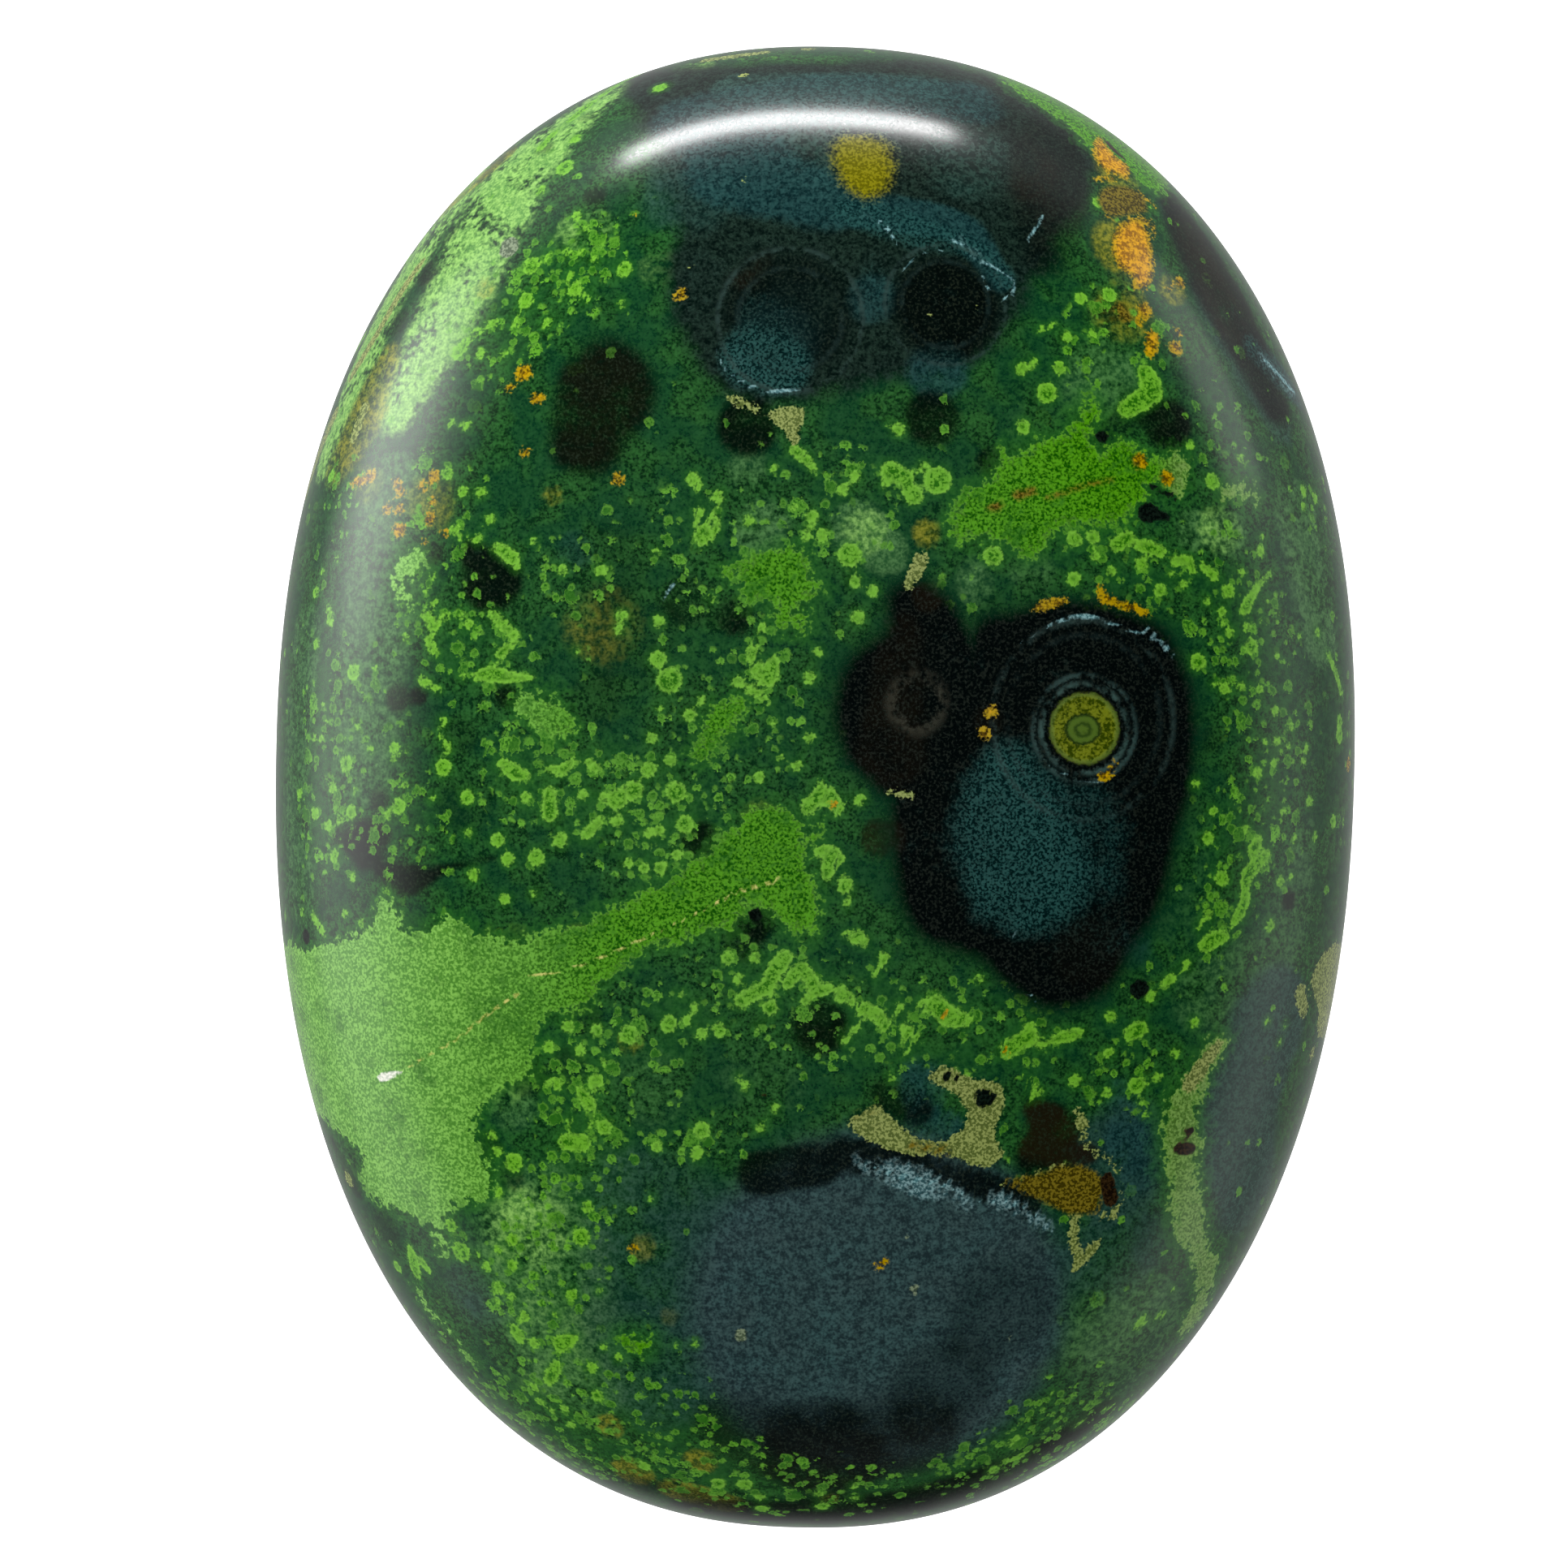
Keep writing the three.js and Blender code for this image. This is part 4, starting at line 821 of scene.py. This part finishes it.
def lay_markings():
    """Measures every kind of marking on the fine mesh."""
    for name, (areas, strokes) in SHARP.items():
        attribute(name, np.maximum(areas_depth(areas), strokes_depth(strokes)))
    for name, (middle, radii) in ELLIPSES.items():
        attribute(name, ellipse_distance(middle, radii))
    for name, strokes in SOFT.items():
        attribute(name, soft_field(strokes))
    lay_specks()


def lay_specks():
    """How thickly specks lie: none on the dusk or on the slate disc, and few outside the soft strokes."""
    thick = np.maximum(soft_field(SPECKS), FEWEST_SPECKS)
    off_dusk = np.clip(-area_depth(DUSK_AREA), 0, 1)
    off_disc = np.clip((ellipse_distance(*ELLIPSES["disc"]) - 0.9) * 6, 0, 1)
    attribute("specks", thick * off_dusk * off_disc)


lay_markings()
stone = bpy.data.objects.new("palm_stone_polished", mesh)
bpy.context.scene.collection.objects.link(stone)

# The polished stone's material
material = bpy.data.materials.new("polished_kambaba_jasper")
material.use_nodes = True
SCREEN_GAMMA = 2.2
JASPER_IOR = 1.54
GLOSS = 0.1  # roughness where the polish is best
UNEVEN_GLOSS = 0.16  # how much the grain adds to it


def work_in(node_tree):
    """Says which node tree the functions below add to."""
    global tree, nodes
    tree = node_tree
    nodes = node_tree.nodes


work_in(material.node_tree)


def colour(red, green, blue):
    """A colour as it looks on a screen, 0 to 255, as linear values."""
    return tuple((part / 255) ** SCREEN_GAMMA for part in (red, green, blue)) + (1.0,)


def feed(target, source):
    """Links a socket to another one, or sets it to a value."""
    if isinstance(source, bpy.types.NodeSocket):
        tree.links.new(source, target)
    else:
        target.default_value = source


def calculate(operation, *terms):
    """One sum in the material."""
    node = nodes.new("ShaderNodeMath")
    node.operation = operation
    for target, term in zip(node.inputs, terms):
        feed(target, term)
    return node.outputs[0]


def smooth_step(value, start, end):
    """0 before the start, 1 after the end and a smooth rise between them."""
    node = nodes.new("ShaderNodeMapRange")
    node.interpolation_type = "SMOOTHSTEP"
    feed(node.inputs["Value"], value)
    feed(node.inputs["From Min"], start)
    feed(node.inputs["From Max"], end)
    return node.outputs["Result"]


def millimetres():
    """The place on the stone in millimetres."""
    node = nodes.new("ShaderNodeVectorMath")
    node.operation = "SCALE"
    feed(node.inputs[0], nodes.new("ShaderNodeTexCoord").outputs["Object"])
    node.inputs["Scale"].default_value = 1 / MM
    return node.outputs[0]


def moved(vector, offset):
    """A vector with an offset added."""
    node = nodes.new("ShaderNodeVectorMath")
    node.operation = "ADD"
    feed(node.inputs[0], vector)
    feed(node.inputs[1], offset)
    return node.outputs[0]


PLACE = millimetres()


def noise(size, detail, shift):
    """Noise whose blotches are about as big as the size, in millimetres."""
    node = nodes.new("ShaderNodeTexNoise")
    feed(node.inputs["Vector"], moved(PLACE, (shift, 2 * shift, -shift)))
    node.inputs["Scale"].default_value = 1 / size
    node.inputs["Detail"].default_value = detail
    return node.outputs["Fac"]


def marking(name):
    """One kind of marking from the mesh."""
    node = nodes.new("ShaderNodeAttribute")
    node.attribute_name = name
    return node.outputs["Fac"]


def mix(first, second, share):
    """A blend of two colours."""
    node = nodes.new("ShaderNodeMix")
    node.data_type = "RGBA"
    feed(node.inputs["Factor"], share)
    feed(node.inputs["A"], first)
    feed(node.inputs["B"], second)
    return node.outputs["Result"]


def both(first, second):
    """The product of two shares."""
    return calculate("MULTIPLY", first, second)


def rest_of(share):
    """What a share leaves of 1."""
    return calculate("SUBTRACT", 1.0, share)


# Three noises: the size of their blotches, their detail, and the shift that sets them apart
FINE = noise(0.12, 1.0, 3.0)
SMALL = noise(0.3, 2.0, 7.0)
BROAD = noise(1.6, 1.0, 11.0)
SWING = 2.6  # brings the sum of two noises, less its mean, to about -1 to 1


def swing(first, second):
    """Two noises as one that goes about from -1 to 1."""
    return calculate("MULTIPLY", calculate("SUBTRACT", calculate("ADD", first, second), 1.0), SWING)


EDGE = swing(FINE, SMALL)
DRIFT = swing(SMALL, BROAD)


def ragged(name, reach, unevenness=EDGE):
    """A marking's depth with a ragged edge."""
    return calculate("ADD", marking(name), calculate("MULTIPLY", unevenness, reach))


def soft(name, low=0.1, high=0.85, reach=0.4):
    """A soft field broken up by noise."""
    uneven = calculate("ADD", calculate("MULTIPLY", DRIFT, reach), 1.0)
    return smooth_step(calculate("MULTIPLY", marking(name), uneven), low, high)


# Clouds of lighter ground, the haze and pale ones partly painted sheen: dark and light tones, share and how
# much the noise breaks them up
CLOUDS = [
    ("haze_and_sheen", (42, 84, 46), (82, 126, 72), 0.7, 0.7),
    ("pale_and_sheen", (78, 130, 58), (138, 186, 92), 0.9, 1.0),
    ("olive", (60, 76, 18), (134, 132, 34), 0.8, 0.7),
]


def ground():
    """The dark green ground, with slate, teal, olive and near-black parts, painted shade along the slim end's
    rim and painted sheen on some slopes.
    """
    mottle = smooth_step(calculate("ADD", FINE, SMALL), 0.7, 1.34)
    tone = mix(colour(13, 42, 22), colour(42, 90, 42), mottle)
    tone = mix(tone, colour(14, 56, 36), both(smooth_step(BROAD, 0.4, 0.62), 0.6))
    tone = mix(tone, colour(46, 104, 32), both(smooth_step(ragged("specks", 0.4, DRIFT), 0.4, 1.3), 0.3))
    # The haze and pale clouds are partly painted sheen on the slopes; the olive cloud is the stone's own
    # colour
    for name, dark, light, share, reach in CLOUDS:
        tone = mix(tone, mix(colour(*dark), colour(*light), mottle), both(soft(name, reach=reach), share))
    dusk = smooth_step(ragged("dusk", 0.35, DRIFT), -0.5, 0.7)
    tone = mix(tone, mix(colour(10, 20, 19), colour(32, 46, 41), mottle), both(dusk, 0.96))
    tone = mix(tone, mix(colour(22, 46, 42), colour(48, 76, 68), mottle), both(soft("slate"), 0.85))
    disc = rest_of(smooth_step(ragged("disc", 0.012), 0.86, 1.1))
    slate = mix(colour(60, 76, 76), colour(58, 88, 88), BROAD)
    tone = mix(tone, mix(colour(32, 45, 48), slate, mottle), both(disc, 0.95))
    # Teal parts, with a painted sheen across the blunt end round the strip highlight
    tone = mix(tone, mix(colour(14, 40, 43), colour(38, 72, 72), mottle), both(soft("teal_and_sheen"), 0.7))
    black = mix(colour(8, 14, 13), colour(30, 23, 15), soft("brown"))
    black = mix(black, colour(38, 44, 34), both(smooth_step(FINE, 0.52, 0.68), 0.5))
    # Near-black parts, with painted shade along the slim end's rim
    tone = mix(tone, black, both(soft("night_and_shade"), 0.92))
    frost = mix(colour(52, 84, 88), colour(128, 162, 164), smooth_step(FINE, 0.38, 0.62))
    return mix(tone, frost, both(soft("frost", 0.25, 1.0, 1.0), 0.75))


def warp_vector():
    """A vector of the three noises, which bends the specks out of round."""
    node = nodes.new("ShaderNodeCombineXYZ")
    for target, source in zip(node.inputs, (SMALL, FINE, BROAD)):
        feed(target, source)
    return node.outputs[0]


WARP = warp_vector()


# Layers of specks: the size of a cell, the largest radius, the chance and the shift of the pattern
SPECK_LAYERS = [
    (0.42, 0.16, 0.55, 29),
    (0.8, 0.26, 0.35, 31),
]
SPECK_WARP = 0.8  # how far the noises bend a speck, as a share of its cell


def specks(below, cell, radius, chance, shift):
    """Small lime grains with bright rims, where the stone's specks lie thick enough."""
    warp = nodes.new("ShaderNodeVectorMath")
    warp.operation = "SCALE"
    feed(warp.inputs[0], WARP)
    warp.inputs["Scale"].default_value = cell * SPECK_WARP
    cells = nodes.new("ShaderNodeTexVoronoi")
    feed(cells.inputs["Vector"], moved(moved(PLACE, warp.outputs[0]), (shift, shift, shift)))
    cells.inputs["Scale"].default_value = 1 / cell
    chances = nodes.new("ShaderNodeSeparateColor")
    feed(chances.inputs[0], cells.outputs["Color"])
    size = calculate("MULTIPLY", calculate("ADD", chances.outputs[0], 0.6), radius)
    depth = calculate("SUBTRACT", size, calculate("MULTIPLY", cells.outputs["Distance"], cell))
    thick = calculate("MULTIPLY", marking("specks"), chance)
    present = smooth_step(calculate("SUBTRACT", thick, chances.outputs[1]), 0.0, 0.05)
    depth = calculate("ADD", depth, calculate("MULTIPLY", EDGE, 0.05))
    fill = both(smooth_step(depth, -0.06, 0.05), present)
    rim = rest_of(smooth_step(depth, 0.03, 0.1))
    light = both(smooth_step(FINE, 0.34, 0.6), chances.outputs[2])
    inner = mix(colour(40, 92, 26), colour(96, 160, 44), light)
    return mix(below, mix(inner, colour(108, 170, 56), both(rim, 0.45)), both(fill, 0.85))


# Where the bright areas change their tone, from left to right in millimetres
# The arrow's pale tail is partly painted sheen, where the left shoulder mirrors the light
ARROW_FADE = (-17.0, -8.0)  # from the pale tail of the arrow to its vivid head
RIBBON_FADE = (14.0, 15.5)  # to the duller ribbon at the right


def bright_green(below):
    """The arrow and the other bright areas, with worm-like fine grain."""
    depth = calculate("ADD", ragged("bright", 0.18), calculate("MULTIPLY", DRIFT, 0.4))
    cover = smooth_step(depth, -0.12, 0.14)
    worm = calculate("ADD", calculate("MULTIPLY", FINE, 0.7), calculate("MULTIPLY", SMALL, 0.3))
    pale_and_sheen = mix(colour(74, 126, 48), colour(122, 176, 80), smooth_step(worm, 0.4, 0.62))
    vivid = mix(colour(22, 72, 4), colour(76, 140, 22), smooth_step(worm, 0.36, 0.62))
    across = nodes.new("ShaderNodeSeparateXYZ")
    feed(across.inputs[0], PLACE)
    # Paler toward the left: partly painted sheen from the left shoulder's light
    tone = mix(pale_and_sheen, vivid, smooth_step(across.outputs[0], *ARROW_FADE))
    tone = mix(tone, colour(34, 86, 26), both(smooth_step(DRIFT, 0.1, 0.8), 0.6))
    muted = mix(colour(72, 104, 44), colour(118, 148, 80), smooth_step(worm, 0.4, 0.62))
    tone = mix(tone, muted, both(smooth_step(across.outputs[0], *RIBBON_FADE), 0.75))
    rim = rest_of(smooth_step(depth, 0.05, 0.25))
    below = mix(below, colour(42, 98, 32), both(smooth_step(depth, -0.9, 0.0), 0.5))
    return mix(below, mix(tone, colour(120, 178, 66), both(rim, 0.25)), cover)


def lime_grains(below):
    """Lime grains with a bright rim round a darker middle."""
    depth = ragged("lime", 0.08)
    rim = rest_of(smooth_step(depth, 0.05, 0.16))
    tone = mix(colour(38, 94, 18), colour(96, 156, 42), smooth_step(calculate("ADD", FINE, SMALL), 0.8, 1.16))
    tone = mix(tone, colour(120, 180, 60), both(rim, 0.5))
    halo = both(smooth_step(depth, -0.4, 0.1), 0.4)
    below = mix(below, colour(44, 102, 30), halo)
    return mix(below, tone, smooth_step(depth, -0.07, 0.06))


def grains(below, name, reach, dark, light, edge):
    """Grains of one kind in two tones, with a soft edge."""
    tone = mix(colour(*dark), colour(*light), smooth_step(FINE, 0.42, 0.6))
    return mix(below, tone, smooth_step(ragged(name, reach), -edge, edge))


def amber_grains(below):
    """Amber grains: olive at their edges and where they are small, bright orange inside the large ones."""
    depth = ragged("amber", 0.16)
    grain = smooth_step(calculate("ADD", FINE, SMALL), 0.8, 1.2)
    small = mix(colour(84, 62, 0), colour(160, 134, 6), grain)
    large = mix(colour(128, 86, 0), colour(200, 146, 10), grain)
    tone = mix(small, large, smooth_step(depth, 0.1, 0.4))
    return mix(below, tone, smooth_step(depth, -0.09, 0.08))


def ring(below, distance, radius, width, tone, share):
    """A soft ring about an ellipse, in shares of its half-axes."""
    off = calculate("ABSOLUTE", calculate("SUBTRACT", distance, radius))
    band = rest_of(smooth_step(off, 0.0, width))
    return mix(below, tone, both(band, share))


def filled(below, distance, tone, inner, outer):
    """A disc that ends softly between two shares of its half-axes."""
    return mix(below, tone, rest_of(smooth_step(distance, inner, outer)))


# Rings with gaps in them: the ellipse, how ragged it is, then each ring's radius, width, colour and share
BROKEN_RINGS = [
    ("left_ring", 0.14, [(0.95, 0.35, (64, 64, 54), 0.5)]),
    ("orb_disc", 0.012, [(1.0, 0.06, (62, 84, 80), 0.3), (0.85, 0.06, (44, 60, 58), 0.25)]),
    ("black_disc", 0.02, [(1.0, 0.06, (48, 66, 62), 0.6), (0.72, 0.07, (36, 52, 50), 0.4)]),
    ("teal_disc", 0.02, [(1.0, 0.06, (48, 66, 62), 0.6), (0.72, 0.07, (36, 52, 50), 0.4)]),
    ("eye", 0.05, [(1.22, 0.13, (74, 104, 98), 0.5), (1.45, 0.12, (66, 92, 88), 0.45)]),
]


def dark_bodies(below):
    """The near-black bodies, with the teal glow in the right one."""
    depth = calculate("ADD", ragged("body", 0.1), calculate("MULTIPLY", DRIFT, 0.1))
    below = mix(below, colour(12, 40, 28), both(smooth_step(depth, -1.2, 0.0), 0.6))
    dark = mix(colour(9, 15, 15), colour(23, 21, 16), soft("brown"))
    dark = mix(dark, colour(38, 44, 38), both(smooth_step(FINE, 0.48, 0.66), 0.5))
    tone = mix(below, dark, smooth_step(depth, -0.55, 0.3))
    glow = mix(colour(4, 32, 32), colour(40, 80, 76), smooth_step(FINE, 0.36, 0.64))
    return mix(tone, glow, both(smooth_step(ragged("glow", 0.22, DRIFT), 0.05, 1.1), 0.85))


def rings(below):
    """The broken rings of the orbs and discs."""
    tone = below
    broken = smooth_step(DRIFT, -0.6, 0.7)
    for name, reach, circles in BROKEN_RINGS:
        distance = ragged(name, reach)
        for radius, width, rim, share in circles:
            tone = ring(tone, distance, radius, width, colour(*rim), both(broken, share))
    return tone


def olive_eye(below):
    """The olive eye in the right orb, with its ringed pupil."""
    eye = ragged("eye", 0.05)
    iris = mix(colour(46, 60, 6), colour(104, 114, 26), smooth_step(calculate("ADD", FINE, SMALL), 0.8, 1.2))
    tone = filled(below, eye, iris, 0.86, 1.04)
    tone = ring(tone, eye, 0.92, 0.1, colour(96, 120, 52), 0.5)
    pupil = ragged("pupil", 0.06)
    tone = filled(tone, pupil, colour(72, 96, 34), 0.85, 1.05)
    tone = ring(tone, pupil, 0.92, 0.18, colour(24, 40, 16), 0.85)
    return ring(tone, pupil, 0.42, 0.2, colour(30, 50, 20), 0.75)


# Plain grains, from the lowest layer up: how ragged they are, their dark and light tones, and their edge
GRAINS_UNDER_AMBER = [
    ("khaki", 0.14, (80, 94, 46), (134, 146, 82), 0.05),
    ("spot", 0.3, (86, 84, 8), (116, 112, 14), 0.4),
    ("umber", 0.1, (56, 50, 12), (108, 96, 28), 0.16),
]
GRAINS_OVER_AMBER = [
    ("grey", 0.05, (70, 84, 64), (116, 130, 104), 0.05),
    ("ink", 0.08, (10, 16, 14), (20, 30, 24), 0.05),
    ("hole", 0.04, (24, 18, 12), (48, 36, 20), 0.05),
    ("line", 0.03, (70, 108, 112), (120, 158, 160), 0.05),
    ("vein", 0.03, (132, 146, 60), (190, 186, 104), 0.05),
    ("chip", 0.03, (190, 196, 180), (226, 226, 214), 0.05),
]


def stone_colour():
    """All the markings, one over the other."""
    tone = ground()
    for layer in SPECK_LAYERS:
        tone = specks(tone, *layer)
    tone = bright_green(tone)
    tone = olive_eye(rings(dark_bodies(tone)))
    tone = lime_grains(tone)
    for layer in GRAINS_UNDER_AMBER:
        tone = grains(tone, *layer)
    tone = amber_grains(tone)
    for layer in GRAINS_OVER_AMBER:
        tone = grains(tone, *layer)
    return tone


def finish_material():
    """Joins the colour to the shader, with a polish that is a little uneven."""
    shader = nodes["Principled BSDF"]
    feed(shader.inputs["Base Color"], stone_colour())
    gloss = calculate("ADD", calculate("MULTIPLY", FINE, UNEVEN_GLOSS), GLOSS)
    feed(shader.inputs["Roughness"], gloss)
    shader.inputs["IOR"].default_value = JASPER_IOR


finish_material()
mesh.materials.append(material)

# Studio: a white floor, a broad overhead softbox that the polish doesn't mirror, and low ones that it does
FLOOR_SIZE = 3.0
FLOOR_TONE = 0.2
FLOOR_ROUGHNESS = 0.8
FLOOR_GLOW = 1.7
SURROUND_GLOW = 0.85
LEFT_GLOW = 2.0
WHITE = (1.0, 1.0, 1.0, 1.0)

# Softboxes: name, place, width, height, glow, and whether the polish mirrors them
SOFTBOXES = [
    ("overhead", (-0.2, 0.2, 1.2), 1.5, 1.5, 2.9, False),
    ("strip_at_blunt_end", (-0.040, 0.42, 0.046), 0.30, 0.05, 24.0, True),
    ("right_side", (0.40, 0.24, 0.06), 0.22, 0.14, 1.2, True),
]

# The camera, over the face; the turn is how far the stone lies askew in the picture
CAMERA_PLACE = (-1.330 * MM, 0.105 * MM, 764.9 * MM)
CAMERA_TURN = 0.0219
LENS = 400
SENSOR = 36


def studio_floor():
    """A plain floor that glows white, so that no shadow shows."""
    half = FLOOR_SIZE / 2
    floor_mesh = bpy.data.meshes.new("studio_floor")
    corners = [(-half, -half, 0), (half, -half, 0), (half, half, 0), (-half, half, 0)]
    floor_mesh.from_pydata(corners, [], [(0, 1, 2, 3)])
    floor_material = bpy.data.materials.new("white_paper")
    floor_material.use_nodes = True
    paper = floor_material.node_tree.nodes["Principled BSDF"]
    paper.inputs["Base Color"].default_value = (FLOOR_TONE, FLOOR_TONE, FLOOR_TONE, 1.0)
    paper.inputs["Roughness"].default_value = FLOOR_ROUGHNESS
    paper.inputs["Emission Color"].default_value = WHITE
    paper.inputs["Emission Strength"].default_value = FLOOR_GLOW
    floor_mesh.materials.append(floor_material)
    floor = bpy.data.objects.new("studio_floor", floor_mesh)
    bpy.context.scene.collection.objects.link(floor)
    floor.visible_glossy = False


def softbox(name, centre, width, height, glow, mirrored):
    """A softbox that faces the stone. The glow is how bright it looks."""
    light = bpy.data.lights.new(name, "AREA")
    light.shape = "RECTANGLE"
    light.size = width
    light.size_y = height
    light.energy = glow * math.pi * width * height
    lamp = bpy.data.objects.new(name, light)
    lamp.location = centre
    toward = -lamp.location
    lamp.rotation_euler = toward.to_track_quat("-Z", "Y").to_euler()
    lamp.visible_glossy = mirrored
    lamp.visible_camera = False
    bpy.context.scene.collection.objects.link(lamp)


def studio_surround():
    """Soft light from low down, for the polish to mirror: brightest on the left, faint at the slim end."""
    world = bpy.data.worlds.new("soft_surround")
    world.use_nodes = True
    work_in(world.node_tree)
    parts = nodes.new("ShaderNodeSeparateXYZ")
    feed(parts.inputs[0], nodes.new("ShaderNodeTexCoord").outputs["Generated"])
    x, y, z = parts.outputs
    # An even part, weaker high up, under the floor's level, at the slim end and at the upper right
    low = rest_of(smooth_step(z, 0.05, 0.42))
    floor_side = calculate("ADD", 0.45, calculate("MULTIPLY", 0.55, smooth_step(z, -0.5, -0.05)))
    open_side = calculate("ADD", 0.06, calculate("MULTIPLY", 0.94, smooth_step(y, -0.88, -0.5)))
    upper_right = calculate("ADD", calculate("MULTIPLY", x, 0.5), calculate("MULTIPLY", y, 0.87))
    gap = rest_of(calculate("MULTIPLY", 0.5, smooth_step(upper_right, 0.84, 0.97)))
    right = rest_of(calculate("MULTIPLY", 0.1, smooth_step(x, 0.3, 0.8)))
    shape = both(both(low, floor_side), both(both(open_side, gap), right))
    even = calculate("MULTIPLY", shape, SURROUND_GLOW)
    # A bright band on the left, and a brighter spot in it
    level = calculate("ABSOLUTE", calculate("SUBTRACT", z, 0.02))
    band = rest_of(smooth_step(level, 0.3, 0.62))
    left = both(smooth_step(y, -0.5, 0.3), rest_of(smooth_step(y, 0.38, 0.6)))
    left = both(left, smooth_step(calculate("MULTIPLY", x, -1.0), 0.3, 0.6))
    toward = calculate("ADD", calculate("MULTIPLY", x, -0.91), calculate("MULTIPLY", y, 0.38))
    spot = smooth_step(toward, 0.91, 0.98)
    glow = calculate("ADD", both(band, left), calculate("MULTIPLY", spot, 1.3))
    background = nodes["Background"]
    background.inputs["Color"].default_value = WHITE
    feed(background.inputs["Strength"], calculate("ADD", even, calculate("MULTIPLY", glow, LEFT_GLOW)))
    bpy.context.scene.world = world


def studio_camera():
    """The camera looks straight down on the face, turned as the photo was."""
    camera = bpy.data.cameras.new("camera")
    camera.sensor_width = SENSOR
    camera.lens = LENS
    camera.clip_end = 10
    holder = bpy.data.objects.new("camera", camera)
    holder.location = CAMERA_PLACE
    holder.rotation_euler = (0, 0, CAMERA_TURN)
    bpy.context.scene.collection.objects.link(holder)
    bpy.context.scene.camera = holder


studio_floor()
studio_surround()
studio_camera()
for box in SOFTBOXES:
    softbox(*box)
bpy.context.scene.view_settings.view_transform = "Standard"

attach(stone, "root")
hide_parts("palm_stone")
